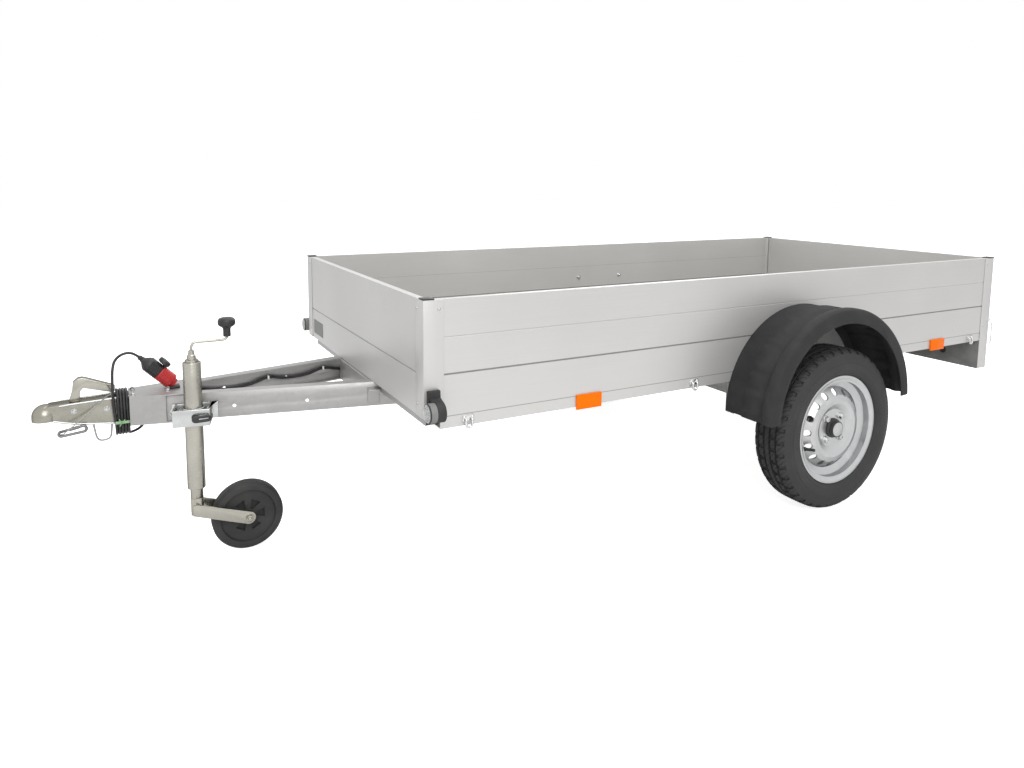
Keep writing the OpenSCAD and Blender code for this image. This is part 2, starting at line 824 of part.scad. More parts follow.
module jockey_fork() {
    color("#c9c2a8") translate([jockey_x, jockey_y, 0]) {
        difference() {
            union() {
                translate([0, 0, 127]) cylinder(h = 50.6, r = leg_r);
                block([-33, -12, 140], [33, 12, 148]);
            }
            translate([0, 0, 125]) cylinder(h = 54, r = 8.4);
        }
        for (side = [-1, 1]) difference() {
            hull() {
                block([side * 33.5 - 2.5, -14, 136], [side * 33.5 + 2.5, 0, 166]);
                translate([side * 33.5, jockey_trail, wheel_r]) rod_x(-2.5, 2.5, 18);
            }
            translate([side * 33.5, jockey_trail, wheel_r]) rod_x(-3, 3, 6.2);
        }
        translate([0, jockey_trail, wheel_r]) {
            rod_x(-37, 37, 5.9);
            for (side = [-36, 36]) translate([side, 0, 0]) rod_x(min(0, side / 6), max(0, side / 6), 9);
        }
    }
}

// One recess of the wheel's web, between two spokes
module fan_recess() {
    difference() {
        polygon([[18, -3], [46, -14], [46, 14], [18, 3]]);
        circle(r = 20);
    }
}

module jockey_wheel() {
    color("#2b2b2b") translate([jockey_x, axle_j_y, wheel_r]) difference() {
        rotate([0, 90, 0]) rotate_extrude($fn = 72) polygon([[6.4, -26], [14, -26], [16, -15],
            [74, -15], [78, -24], [92, -24], [wheel_r, -15], [wheel_r, 15], [92, 24], [78, 24],
            [74, 15], [16, 15], [14, 26], [6.4, 26]]);
        for (i = [0:5], x = [-30, 5]) rotate([i * 60, 0, 0]) translate([x, 0, 0])
            rotate([90, 0, 90]) linear_extrude(25) fan_recess();
    }
}

// Section of the tyre: X is the radius, Y the distance along the axle
module tyre_section() {
    r = tyre_d / 2;
    h = tyre_w / 2;
    edge = rim_w / 2;
    polygon([[bead_r + 0.2, -edge + 3.2], [flange_r - 12, -edge + 2.3], [flange_r + 0.8, -edge - 0.8],
        [flange_r + 5.8, -edge - 8], [r - 62, -h],
        [r - 45, -h], [r - 24, -h + 6], [r - 8, -h + 13], [r - 2, -h + 24], [r, -30], [r, 30],
        [r - 2, h - 24], [r - 8, h - 13], [r - 24, h - 6], [r - 45, h], [r - 62, h],
        [flange_r + 5.8, edge + 8], [flange_r + 0.8, edge + 0.8], [flange_r - 12, edge - 2.3],
        [bead_r + 0.2, edge - 3.2], [bead_r + 0.2, 34],
        [r - 74, 34], [r - 62, h - 12], [r - 40, h - 12], [r - 14, h - 26], [r - 12, 0],
        [r - 14, -h + 26], [r - 40, -h + 12], [r - 62, -h + 12], [r - 74, -34],
        [bead_r + 0.2, -34]]);
}

module tyre() {
    color("#333333") translate([wheel_x, axle_y, wheel_z]) rotate([0, 90, 0])
        rotate_extrude($fn = 96) tyre_section();
}

module tyre_left() {
    tyre();
}

module tyre_right() {
    mirror([1, 0, 0]) tyre();
}

// Section of the steel rim and its dished disc; Y grows outwards
module rim_section() {
    edge = rim_w / 2;
    polygon([[flange_r, edge + 5], [flange_r, edge + 1], [flange_r - 12, edge - 2],
        [bead_r, edge - 3], [bead_r, 30], [well_r, 20], [well_r, -20], [bead_r, -30],
        [bead_r, -edge + 3], [flange_r - 12, -edge + 2], [flange_r, -edge - 1],
        [flange_r, -edge - 5], [flange_r - 6, -edge - 5], [flange_r - 15, -edge - 1],
        [bead_r - 3, -edge], [bead_r - 3, -32], [well_r - 3, -22], [well_r - 3, 11],
        [132, 18], [112, 38], [98, 42.5], [84, 40.5], [75, 35], [66, mount_off], [33, mount_off],
        [33, mount_off + 4], [64, mount_off + 4], [72, 39], [83, 44.5], [98, 46.5], [114, 42],
        [135, 22], [well_r - 3, 18], [well_r - 3, 22], [bead_r - 3, 32], [bead_r - 3, edge],
        [flange_r - 15, edge + 1], [flange_r - 6, edge + 5]]);
}

module rim() {
    color("#c4c6c6") translate([wheel_x, axle_y, wheel_z]) rotate([90, 0, 90]) difference() {
        rotate_extrude($fn = 96) rim_section();
        for (i = [0:15]) rotate([0, 0, i * 22.5]) translate([122, 0, 0])
            cylinder(h = 60, r = 10.5);
        for (i = [0:3]) rotate([0, 0, i * 90 + 45]) translate([stud_circle, 0, 0])
            cylinder(h = 60, r = 7);
    }
}

module rim_left() {
    rim();
}

module rim_right() {
    mirror([1, 0, 0]) rim();
}

module hub() {
    color("#8a8a86") translate([wheel_x, axle_y, wheel_z]) difference() {
        union() {
            rod_x(mount_off - 10, mount_off - 0.1, 64);
            rod_x(-30, mount_off - 5, 40);
            rod_x(mount_off - 5, mount_off + 12, 32);
            rod_x(mount_off + 12, mount_off + 25, 27);
            rotate([90, 0, 90]) for (i = [0:3]) rotate([0, 0, i * 90 + 45])
                translate([stud_circle, 0, mount_off - 8]) {
                    cylinder(h = 14, r = 6);
                    translate([0, 0, 12]) cylinder(h = 9, r = 9.5, $fn = 6);
                }
        }
        rod_x(-31, mount_off + 6, 12.3);
    }
}

module hub_left() {
    hub();
}

module hub_right() {
    mirror([1, 0, 0]) hub();
}

drawbar_arm_left();
drawbar_arm_right();
drawbar_head();
drawbar_brackets();
floor_bearers();
floor_panel();
side_rail_left();
side_rail_right();
rear_sill();
axle_beam();
suspension_arm_left();
suspension_arm_right();
front_wall();
side_wall_left();
side_wall_right();
front_posts();
rear_posts();
corner_caps();
tailgate();
tailgate_latches();
hinge_pins();
light_board();
tail_lamps();
number_plate();
front_lamp_left();
front_lamp_right();
side_reflectors();
rope_hooks();
mudguard_left();
mudguard_right();
mudguard_stays();
type_plate();
coupling_head();
coupling_handle();
cable_loop();
cable_anchor();
snap_hook();
safety_cable();
plug_holder();
plug();
cable_grommet();
plug_cable();
plug_cable_root();
plug_cable_coil();
wiring_loom();
jockey_clamp();
clamp_handle();
jockey_tube();
jockey_crank();
jockey_leg();
jockey_fork();
jockey_wheel();
tyre_left();
rim_left();
hub_left();
tyre_right();
rim_right();
hub_right();
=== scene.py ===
import bpy
import json
import math
from mathutils import Matrix, Vector


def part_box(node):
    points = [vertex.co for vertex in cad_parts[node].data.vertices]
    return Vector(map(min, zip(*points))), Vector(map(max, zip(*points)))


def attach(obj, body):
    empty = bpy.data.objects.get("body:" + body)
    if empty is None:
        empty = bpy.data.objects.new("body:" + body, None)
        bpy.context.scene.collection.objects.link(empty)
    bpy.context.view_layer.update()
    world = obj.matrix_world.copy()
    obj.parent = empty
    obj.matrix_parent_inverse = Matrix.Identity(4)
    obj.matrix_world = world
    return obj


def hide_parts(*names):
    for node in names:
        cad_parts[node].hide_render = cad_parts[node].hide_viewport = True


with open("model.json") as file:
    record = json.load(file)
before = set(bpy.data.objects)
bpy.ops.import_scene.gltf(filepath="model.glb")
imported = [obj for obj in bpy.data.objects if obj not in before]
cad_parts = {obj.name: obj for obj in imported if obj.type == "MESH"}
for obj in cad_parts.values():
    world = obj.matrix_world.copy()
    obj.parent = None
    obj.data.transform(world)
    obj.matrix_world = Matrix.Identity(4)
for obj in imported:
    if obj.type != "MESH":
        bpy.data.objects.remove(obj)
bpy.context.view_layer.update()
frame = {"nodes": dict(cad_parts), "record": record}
scene = bpy.context.scene
nodes = frame["nodes"]


def low(node):
    return Vector(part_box(node)[0])


def high(node):
    return Vector(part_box(node)[1])


def middle(node):
    return (low(node) + high(node)) / 2


def setMode(mode):
    bpy.ops.object.mode_set(mode=mode)


def clearSelection():
    if bpy.context.mode != "OBJECT":
        setMode("OBJECT")
    bpy.ops.object.select_all(action="DESELECT")


def selectOnly(piece):
    clearSelection()
    piece.select_set(True)
    bpy.context.view_layer.objects.active = piece


def selectAll():  # every corner, edge and face of the piece that is being edited
    setMode("EDIT")
    bpy.ops.mesh.select_all(action="SELECT")


cameraSetup = {
    "place": (2.349, -1.5315, 1.087),
    "turn": 61.22,  # degrees from the trailer's rear towards its right side
    "down": 6.68,  # degrees, as is the roll
    "roll": 0.5,
    "lens": 26.27,
    "shift": -0.1144,
}


def makeCamera(setup):
    data = bpy.data.cameras.new("camera")
    data.lens, data.sensor_width, data.shift_y = setup["lens"], 36, setup["shift"]
    camera = bpy.data.objects.new("camera", data)
    scene.collection.objects.link(camera)
    camera.matrix_world = (
        Matrix.Translation(setup["place"])
        @ Matrix.Rotation(math.radians(setup["turn"]), 4, "Z")
        @ Matrix.Rotation(math.radians(90 - setup["down"]), 4, "X")
        @ Matrix.Rotation(math.radians(setup["roll"]), 4, "Z")
    )
    scene.camera = camera


makeCamera(cameraSetup)
print("camera placed")


class Wire:
    # one output socket that Python sums can be written with
    def __init__(self, finish, socket):
        self.finish, self.socket = finish, socket

    def maths(self, operation, *others):
        return self.finish.node("ShaderNodeMath", {"operation": operation}, dict(enumerate([self, *others])))

    def __add__(self, other):
        return self.maths("ADD", other)

    def __mul__(self, other):
        return self.maths("MULTIPLY", other)

    def __sub__(self, other):
        return self.maths("SUBTRACT", other)

    def __rsub__(self, other):
        return self.finish.node("ShaderNodeMath", {"operation": "SUBTRACT"}, {0: other, 1: self})

    def __pow__(self, other):
        return self.maths("POWER", other)

    def step(self, start, end):  # 0 below start, 1 above end, smooth between
        return self.finish.node(
            "ShaderNodeMapRange", {"interpolation_type": "SMOOTHSTEP"}, {0: self, 1: start, 2: end}
        )


class Finish:
    # a material and the one method that adds a node to it
    def __init__(self, name):
        self.material = bpy.data.materials.new(name)
        self.material.use_nodes = True
        self.tree = self.material.node_tree
        self.shader = self.tree.nodes["Principled BSDF"]
        self.place = self.node("ShaderNodeTexCoord", out="Object")

    def feed(self, socket, value):
        if isinstance(value, Wire):
            self.tree.links.new(value.socket, socket)
        else:
            socket.default_value = value

    def node(self, kind, settings=None, sockets=None, out=0):
        made = self.tree.nodes.new(kind)
        for key, value in (settings or {}).items():
            setattr(made, key, value)
        for key, value in (sockets or {}).items():
            self.feed(made.inputs[key], value)
        return Wire(self, made.outputs[out])

    def stretched(self, scale):
        return self.node("ShaderNodeMapping", None, {"Vector": self.place, "Scale": scale})

    def noise(self, scale, detail=3, vector=None):
        return self.node(
            "ShaderNodeTexNoise", None, {"Vector": vector or self.place, "Scale": scale, "Detail": detail}
        )

    def cells(self, scale, out="Color", feature="F1"):
        sockets = {"Vector": self.place, "Scale": scale}
        return self.node("ShaderNodeTexVoronoi", {"feature": feature}, sockets, out)

    def axis(self, letter):
        return self.node("ShaderNodeSeparateXYZ", None, {0: self.place}, letter)

    def mixed(self, mask, first, second):
        def colour(value):
            return value if isinstance(value, Wire) else (*value, 1)

        return self.node(
            "ShaderNodeMix", {"data_type": "RGBA"}, {0: mask, 6: colour(first), 7: colour(second)}, 2
        )

    def bump(self, height, depth, strength=1.0):
        self.feed(
            self.shader.inputs["Normal"],
            self.node("ShaderNodeBump", None, {"Height": height, "Distance": depth, "Strength": strength}),
        )

    def set(self, **values):
        for key, value in values.items():
            if isinstance(value, tuple) and len(value) == 3:
                value = (*value, 1)
            self.feed(self.shader.inputs[key.replace("_", " ")], value)
        return self


metalTones = {
    "aluminium": ((0.56, 0.553, 0.54), (0.625, 0.62, 0.61)),
    "galvanised": ((0.385, 0.38, 0.375), (0.47, 0.465, 0.46)),
    "zinc": ((0.43, 0.415, 0.365), (0.53, 0.515, 0.46)),
    "brightZinc": ((0.54, 0.55, 0.55), (0.7, 0.71, 0.71)),
    "shadedZinc": ((0.33, 0.315, 0.27), (0.43, 0.415, 0.365)),
    "chrome": ((0.72, 0.72, 0.72), (0.8, 0.8, 0.8)),
    "lacquer": ((0.52, 0.525, 0.53), (0.66, 0.665, 0.67)),
    "steelGrey": ((0.2, 0.2, 0.2), (0.3, 0.3, 0.3)),
}


def aluminium(name, grain, seams=()):
    # satin extrusion: faint draw lines along it, slow tone drift, a little handling wear
    f = Finish(name)
    dark, light = metalTones["aluminium"]
    lines = f.noise(1.0, 4, f.stretched(grain))
    drift = f.noise(1.7, 2)
    smudge = f.noise(9, 5).step(0.52, 0.78)
    tone = f.mixed((lines * 0.35 + drift * 0.65).step(0.25, 0.75), dark, light)
    shade = 0
    for height, half, depth in seams:  # dirt and shadow lie in the joint lines
        up = f.axis("Z").step(height - half, height - half * 0.3)
        shade = up * (1 - f.axis("Z").step(height + half * 0.3, height + half)) * depth + shade
    f.set(Base_Color=f.mixed(shade, tone, (0.1, 0.1, 0.098)) if seams else tone)
    f.set(Roughness=lines * 0.1 + smudge * 0.07 + 0.36, Metallic=0.5)
    f.bump(lines, 0.00006, 0.5)
    return f.material


def galvanised(name="galvanisedSteel"):
    # zinc spangle in patches, dull white bloom in places
    f = Finish(name)
    dark, light = metalTones["galvanised"]
    spangle = f.cells(85)
    bloom = f.noise(14, 5).step(0.5, 0.72)
    f.set(Base_Color=f.mixed(spangle * 0.6 + bloom * 0.4, dark, light))
    f.set(Roughness=spangle * 0.16 + bloom * 0.12 + 0.34, Metallic=0.72)
    f.bump(f.noise(160, 4), 0.00018, 0.5)
    return f.material


def zincPlate(name="zincPlate", tone="zinc", rough=0.2):
    # plated steel with a faint yellow and grey drift, finer where it was handled
    f = Finish(name)
    dark, light = metalTones[tone]
    drift = f.noise(7, 3)
    stain = f.noise(38, 5).step(0.48, 0.7)
    f.set(Base_Color=f.mixed((drift * 0.9 + stain * 0.08).step(0.3, 0.75), dark, light))
    f.set(Specular_Tint=(0.3, 0.29, 0.27))
    f.set(Roughness=stain * 0.06 + drift * 0.06 + rough, Metallic=0.95)
    f.bump(f.noise(90, 2), 0.00001, 0.2)
    return f.material


def silverLacquer(name="wheelLacquer"):
    f = Finish(name)
    dark, light = metalTones["lacquer"]
    flake = f.cells(2600)
    dust = f.noise(22, 5).step(0.5, 0.75)
    f.set(Base_Color=f.mixed(flake * 0.5 + dust * 0.5, dark, light), Specular_Tint=(0.35, 0.35, 0.36))
    f.set(Roughness=dust * 0.08 + 0.31, Metallic=0.8, Coat_Weight=0.35, Coat_Roughness=0.12)
    f.bump(f.noise(700, 2), 0.00004, 0.4)
    return f.material


def plastic(name, dark, light, rough, grainSize, grainDepth, coat=0.0, shine=0.5):
    # moulded plastic or rubber with grain and a little grey dust
    f = Finish(name)
    dust = f.noise(16, 6).step(0.42, 0.72)
    grain = f.noise(grainSize, 3)
    f.set(Base_Color=f.mixed(dust * 0.7 + grain * 0.3, dark, light))
    f.set(Roughness=grain * 0.12 + dust * 0.08 + rough, Coat_Weight=coat, Specular_IOR_Level=shine)
    f.bump(grain, grainDepth, 0.7)
    return f.material


def tyreFinish(name="tyreRubber"):
    # sipes cut across the tread and painted near black as painted shade in the cuts, a fine scribed ring on
    # the walls and a little grey dust
    f = Finish(name)
    axle = middle("tyre_left")
    radius = high("tyre_left").z - axle.z
    back, up = f.axis("Y") - axle.y, f.axis("Z") - axle.z
    reach = (back * back + up * up) ** 0.5
    turn = up.maths("ARCTAN2", back) * (96 / math.tau)
    lean = f.axis("X").maths("ABSOLUTE") * 60
    sipe = (turn + lean).maths("FRACT").step(0.2, 0.08) * reach.step(radius - 0.022, radius - 0.012)
    ring = (reach * 420).maths("FRACT").step(0.25, 0.1) * (1 - reach.step(radius - 0.03, radius - 0.026))
    dust = f.noise(9, 5).step(0.45, 0.75)
    tone = f.mixed(dust * 0.7 + f.noise(1100, 2) * 0.3, (0.024, 0.024, 0.024), (0.042, 0.042, 0.041))
    # the sipes' near-black base colour is painted shade inside the cuts
    f.set(Base_Color=f.mixed(sipe * 0.75, tone, (0.006, 0.006, 0.006)), Roughness=dust * 0.08 + 0.7)
    f.bump((sipe + ring * 0.12) * -1, 0.0016, 0.8)
    return f.material


def lens(name, dark, light, ribSize, coat=0.9, shine=0.5):
    # clear-coated lamp plastic with prism cells behind its face
    f = Finish(name)
    cell = f.cells(ribSize, "Distance")
    f.set(Base_Color=f.mixed(cell.step(0.1, 0.6), light, dark))
    f.set(Roughness=f.noise(60, 4) * 0.08 + 0.16, Specular_IOR_Level=shine)
    f.set(Coat_Weight=coat, Coat_Roughness=0.05)
    f.bump(cell, 0.0005, 0.6)
    return f.material


def plywood(name="floorPly"):
    # grey film face with a pressed anti-slip mesh and scuffed tracks
    f = Finish(name)
    scuff = f.noise(5, 6, f.stretched((3, 0.6, 1))).step(0.45, 0.75)
    mesh = f.cells(190, "Distance", "SMOOTH_F1")
    f.set(Base_Color=f.mixed(scuff, (0.3, 0.288, 0.268), (0.42, 0.41, 0.39)))
    f.set(Roughness=scuff * 0.2 + mesh * 0.1 + 0.42)
    f.bump(mesh, 0.0005, 0.7)
    return f.material


def strandedSteel(name="strandedSteel"):
    f = Finish(name)
    uv = f.node("ShaderNodeUVMap")
    bands = {"wave_type": "BANDS", "bands_direction": "DIAGONAL"}
    lay = f.node("ShaderNodeTexWave", bands, {"Vector": uv, "Scale": 22})
    # the lay's bands paint the strands' crowns light and the grooves between them dark: painted highlight
    # and painted shade
    f.set(Base_Color=f.mixed(lay, (0.3, 0.3, 0.3), (0.52, 0.52, 0.51)), Metallic=0.85)
    f.set(Roughness=f.noise(300, 3) * 0.2 + 0.28)
    f.bump(lay, 0.0004, 0.6)
    return f.material


def cableJacket(name="cableJacket"):
    f = Finish(name)
    rub = f.noise(30, 5).step(0.5, 0.75)
    f.set(Base_Color=f.mixed(rub, (0.014, 0.014, 0.015), (0.035, 0.034, 0.033)))
    f.set(Roughness=rub * 0.2 + 0.38)
    f.bump(f.noise(900, 2), 0.00006, 0.5)
    return f.material


wallFoot = low("side_wall_left").z
sideSeams = ((wallFoot, 0.0017, 0.6), (wallFoot + 0.113, 0.0034, 0.62), (wallFoot + 0.212, 0.0012, 0.3))
wallSide = aluminium("wallAluminium", (900, 5, 900), sideSeams)
wallAcross = aluminium("endWallAluminium", (5, 900, 900), ((wallFoot + 0.113, 0.0028, 0.5),))
postMetal = aluminium("postAluminium", (900, 900, 5))
galvanisedSteel = galvanised()
zinc = zincPlate()
brightZinc = zincPlate("brightZinc", "brightZinc", 0.22)
wheelSilver = silverLacquer()
guardPlastic = plastic(
    "guardPlastic", (0.026, 0.026, 0.027), (0.038, 0.038, 0.038), 0.58, 1500, 0.00025, shine=0.22
)
blackPlastic = plastic("blackPlastic", (0.014, 0.014, 0.015), (0.03, 0.03, 0.03), 0.38, 1200, 0.00012, 0.1)
blackRubber = plastic("blackRubber", (0.018, 0.018, 0.018), (0.04, 0.039, 0.038), 0.6, 700, 0.00015)
tyreRubber = tyreFinish()
castingGrey = plastic("castingGrey", (0.075, 0.075, 0.074), (0.13, 0.13, 0.125), 0.5, 500, 0.0003)
greySheet = plastic("greySheet", (0.16, 0.16, 0.158), (0.22, 0.22, 0.215), 0.4, 300, 0.00008)
whiteSheet = plastic("whiteSheet", (0.7, 0.7, 0.68), (0.8, 0.8, 0.78), 0.3, 500, 0.00004, 0.3)
redPlastic = plastic("redPlastic", (0.42, 0.012, 0.014), (0.56, 0.025, 0.022), 0.32, 600, 0.00008, 0.2)
redLens = lens("redLens", (0.22, 0.002, 0.002), (0.55, 0.01, 0.008), 330)
amberLens = lens("amberLens", (0.75, 0.13, 0.0), (0.98, 0.26, 0.01), 330)
clearLens = lens("clearLens", (0.26, 0.27, 0.27), (0.58, 0.6, 0.6), 300)
orangeReflector = lens("orangeReflector", (0.9, 0.15, 0.0), (1.0, 0.23, 0.0), 420, 0.0, 0.08)
floorPly = plywood()
strand = strandedSteel()
jacket = cableJacket()
shadedZinc = zincPlate("shadedZinc", "shadedZinc", 0.24)
chrome = zincPlate("chrome", "chrome", 0.1)
hookSteel = zincPlate("hookSteel", "steelGrey", 0.3)
twistTie = plastic("twistTie", (0.24, 0.42, 0.22), (0.34, 0.55, 0.3), 0.4, 800, 0.0001)
print("finishes mixed")


def paint(piece, material):
    piece.data.materials.clear()
    piece.data.materials.append(material)
    return piece


def smoothed(points, steps):
    # the same rounded path through a route's points as the frame's own cords follow
    path = []
    for i in range(len(points) - 1):
        a, b = Vector(points[max(i - 1, 0)]), Vector(points[i])
        c, d = Vector(points[i + 1]), Vector(points[min(i + 2, len(points) - 1)])
        bend, twist = 2 * a - 5 * b + 4 * c - d, 3 * b - a - 3 * c + d
        for k in range(steps):
            t = k / steps
            path.append(0.5 * (2 * b + (c - a) * t + bend * t * t + twist * t**3))
    return path + [Vector(points[-1])]


def tube(name, path, radius, sides=4):
    # a poly curve with a round bevel, made a mesh; sides is a quarter turn's share
    curve = bpy.data.curves.new(name, "CURVE")
    curve.dimensions, curve.bevel_depth, curve.bevel_resolution = "3D", radius, sides
    curve.use_fill_caps = True
    spline = curve.splines.new("POLY")
    spline.points.add(len(path) - 1)
    for point, place in zip(spline.points, path):
        point.co = (*place, 1)
    piece = bpy.data.objects.new(name, curve)
    scene.collection.objects.link(piece)
    selectOnly(piece)
    bpy.ops.object.convert(target="MESH")
    return smoothShaded(bpy.context.object, 50)


def pathLength(path):
    return sum((b - a).length for a, b in zip(path, path[1:]))


frontY = low("front_posts").y
deckZ = low("front_wall").z


def ahead(x, y, z):  # a point given from the ground under the front wall's middle, in millimetres
    return Vector((x / 1000, frontY + y / 1000, z / 1000))


def rounded(points, steps=4):
    return smoothed([ahead(*p) for p in points], steps)


def place(piece, name, centre=(0, 0, 0), aim=(0, 0, 1), spin=0.0):
    # turns a shape built along Z at the origin to its aim, then puts its place in its mesh
    spun = Matrix.Rotation(math.radians(spin), 4, "Z")
    turn = Vector(aim).to_track_quat("Z", "Y").to_matrix().to_4x4() @ spun
    piece.data.transform(Matrix.Translation(centre) @ turn)
    piece.name = piece.data.name = name
    return piece


def smoothShaded(piece, angle=38):
    selectOnly(piece)
    bpy.ops.object.shade_smooth_by_angle(angle=math.radians(angle))
    return piece


def turned(name, profile, centre=(0, 0, 0), aim=(0, 0, 1), sides=48, closed=False):
    # a circle extruded ring by ring along a profile of radius and height, as on a lathe
    clearSelection()
    radius, height = profile[0]
    fill = "NOTHING" if closed else "NGON"
    bpy.ops.mesh.primitive_circle_add(vertices=sides, radius=radius, fill_type=fill, location=(0, 0, height))
    piece = bpy.context.object
    bpy.ops.object.transform_apply()
    selectAll()
    for (r0, z0), (r1, z1) in zip(profile, profile[1:]):
        bpy.ops.mesh.extrude_region_move()
        bpy.ops.transform.resize(value=(r1 / r0, r1 / r0, 1), center_override=(0, 0, z0))
        bpy.ops.transform.translate(value=(0, 0, z1 - z0))
    bpy.ops.mesh.select_all(action="SELECT")
    bpy.ops.mesh.remove_doubles(threshold=0.000005)
    bpy.ops.mesh.normals_make_consistent(inside=False)
    setMode("OBJECT")
    return smoothShaded(place(piece, name, centre, aim))


def box(name, start, end, bevel=0.0, segments=2):
    # a cube at its size and place with its edges bevelled in edit mode
    clearSelection()
    start, end = Vector(start), Vector(end)
    bpy.ops.mesh.primitive_cube_add(size=1, location=(start + end) / 2, scale=end - start)
    piece = bpy.context.object
    bpy.ops.object.transform_apply(location=True, rotation=True, scale=True)
    piece.name = piece.data.name = name
    if bevel:
        selectAll()
        bpy.ops.mesh.bevel(offset=bevel, segments=segments, affect="EDGES", clamp_overlap=True)
        setMode("OBJECT")
    return smoothShaded(piece, 50)


def chooseFaces(piece, test):
    # leaves the piece in edit mode with the faces that pass a test of centre and normal
    selectOnly(piece)
    setMode("EDIT")
    bpy.ops.mesh.select_mode(type="FACE")
    bpy.ops.mesh.select_all(action="DESELECT")
    setMode("OBJECT")
    for face in piece.data.polygons:
        face.select = test(face.center, face.normal)
    setMode("EDIT")


def copied(piece, name, matrix=Matrix.Identity(4)):
    twin = piece.copy()
    twin.data = piece.data.copy()
    scene.collection.objects.link(twin)
    twin.name = twin.data.name = name
    twin.data.transform(matrix)
    if matrix.determinant() < 0:
        twin.data.flip_normals()
    return twin


def mirrored(piece, name):
    return copied(piece, name, Matrix.Scale(-1, 4, (1, 0, 0)))


def joined(name, pieces):
    clearSelection()
    for piece in pieces:
        piece.select_set(True)
    bpy.context.view_layer.objects.active = pieces[0]
    if len(pieces) > 1:
        bpy.ops.object.join()
    whole = bpy.context.view_layer.objects.active
    whole.name = whole.data.name = name
    return whole


def bodyOf(node):
    bodies = frame["record"]["behaviour"]["bodies"]
    return next(body for body, members in bodies.items() if node in members)


def softened(name, node, width, finish):
    # a merged copy of a frame node with its sharp edges rounded
    piece = copied(nodes[node], name)
    piece.parent = None
    for mark in list(piece.keys()):
        del piece[mark]
    selectOnly(piece)
    selectAll()
    bpy.ops.mesh.remove_doubles(threshold=0.00001)
    bpy.ops.mesh.dissolve_limited(angle_limit=math.radians(0.3))
    setMode("OBJECT")
    edges = piece.modifiers.new("edges", "BEVEL")
    edges.width, edges.segments = width, 2
    edges.limit_method, edges.angle_limit = "ANGLE", math.radians(35)
    edges.harden_normals, edges.use_clamp_overlap = False, True
    bpy.ops.object.modifier_apply(modifier=edges.name)
    smoothShaded(piece, 40)
    paint(piece, finish)
    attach(piece, bodyOf(node))
    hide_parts(node)
    return piece


def hexBolt(name, size, centre, aim, finish=None):
    # a washer, a head with a chamfered top and the screw's end; size is the radius to the head's corners
    def part(name, profile, sides):
        return turned(name, [(size * r, size * z) for r, z in profile], sides=sides)

    washer = part("washer", [(1.35, 0), (1.35, 0.16), (1.28, 0.22), (0.5, 0.22)], 24)
    head = part("head", [(1, 0.2), (1, 0.85), (0.86, 1)], 6)
    end = part("end", [(0.5, 0.9), (0.5, 1.35), (0.38, 1.45)], 16)
    bolt = joined(name, [washer, head, end])
    smoothShaded(bolt, 25)
    place(bolt, name, centre, aim, 15)
    return paint(bolt, finish or brightZinc)


def domeRivet(name, radius, centre, aim, finish):
    profile = [(1, 0), (1, 0.2), (0.8, 0.5), (0.42, 0.68), (0.06, 0.74)]
    return paint(turned(name, [(radius * r, radius * z) for r, z in profile], centre, aim, 16), finish)


def scattered(name, first, places):
    # copies of one small piece at further places, made one object
    parts = [first]
    for k, spot in enumerate(places[1:], 2):
        parts.append(copied(first, name + str(k), Matrix.Translation(Vector(spot) - Vector(places[0]))))
    return joined(name, parts)


plugSetup = {
    "foot": ahead(0, -539, 483),  # where the parked plug's axis meets its holder
    "aim": Vector((0, -0.7071, 0.7071)),
    "ribs": 6,
}


def makePlug(setup):
    # ribbed body with a tapered sleeve, parked in a red holder with its cap turned aside
    ribs = [(0.0225, 0.058), (0.0225, 0.0615)]
    for k in range(setup["ribs"]):
        z = 0.0625 + k * 0.0052
        ribs += [(0.0212, z), (0.0212, z + 0.0018), (0.0223, z + 0.0024), (0.0223, z + 0.0044)]
    body = turned(
        "plugBody",
        [(0.018, 0.0562)] + ribs
        + [(0.0215, 0.096), (0.0175, 0.102), (0.0118, 0.1085), (0.0092, 0.112), (0.008, 0.114),
           (0.008, 0.117), (0.0066, 0.1178), (0.0066, 0.12), (0.0076, 0.1208), (0.0076, 0.123),
           (0.006, 0.1238), (0.0056, 0.1278), (0.0042, 0.128)],
        setup["foot"], setup["aim"], 40,
    )
    paint(body, blackPlastic)
    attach(body, "chassis")
    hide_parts("plug")

    grips = [(0.014, 0.001), (0.015, 0.008), (0.0185, 0.0105), (0.0215, 0.0125), (0.022, 0.014),
             (0.022, 0.028)]
    for k in range(4):
        z = 0.031 + k * 0.0058
        grips += [(0.0222, z), (0.0213, z + 0.001), (0.0213, z + 0.0024), (0.0222, z + 0.0034)]
    shell = turned("holderShell", grips + [(0.0222, 0.0548), (0.0214, 0.056), (0.018, 0.056)],
                   setup["foot"], setup["aim"], 36)
    foot = box("holderFoot", setup["foot"] + Vector((-0.016, -0.014, -0.011)),
               setup["foot"] + Vector((0.016, 0.014, -0.004)), 0.002)
    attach(paint(foot, blackPlastic), "chassis")
    holder = paint(shell, redPlastic)
    smoothShaded(holder, 40)
    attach(holder, "chassis")
    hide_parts("plug_holder")

    side = Vector((0, 0.7071, 0.7071))
    cap = turned(
        "holderCap",
        [(0.015, 0.0), (0.0175, 0.0015), (0.018, 0.004), (0.018, 0.01), (0.0165, 0.0125),
         (0.015, 0.013), (0.014, 0.0118), (0.001, 0.0118)],
        setup["foot"] + setup["aim"] * 0.064 + side * 0.0245, side, 32,
    )
    hinge = box("capHinge", (-0.006, 0.019, 0.05), (0.006, 0.029, 0.06), 0.0015)
    hinge.data.transform(Matrix.Translation(setup["foot"]) @ Matrix.Rotation(math.radians(45), 4, "X"))
    lid = joined("holderLid", [cap, hinge])
    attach(paint(lid, blackPlastic), "chassis")
    return body


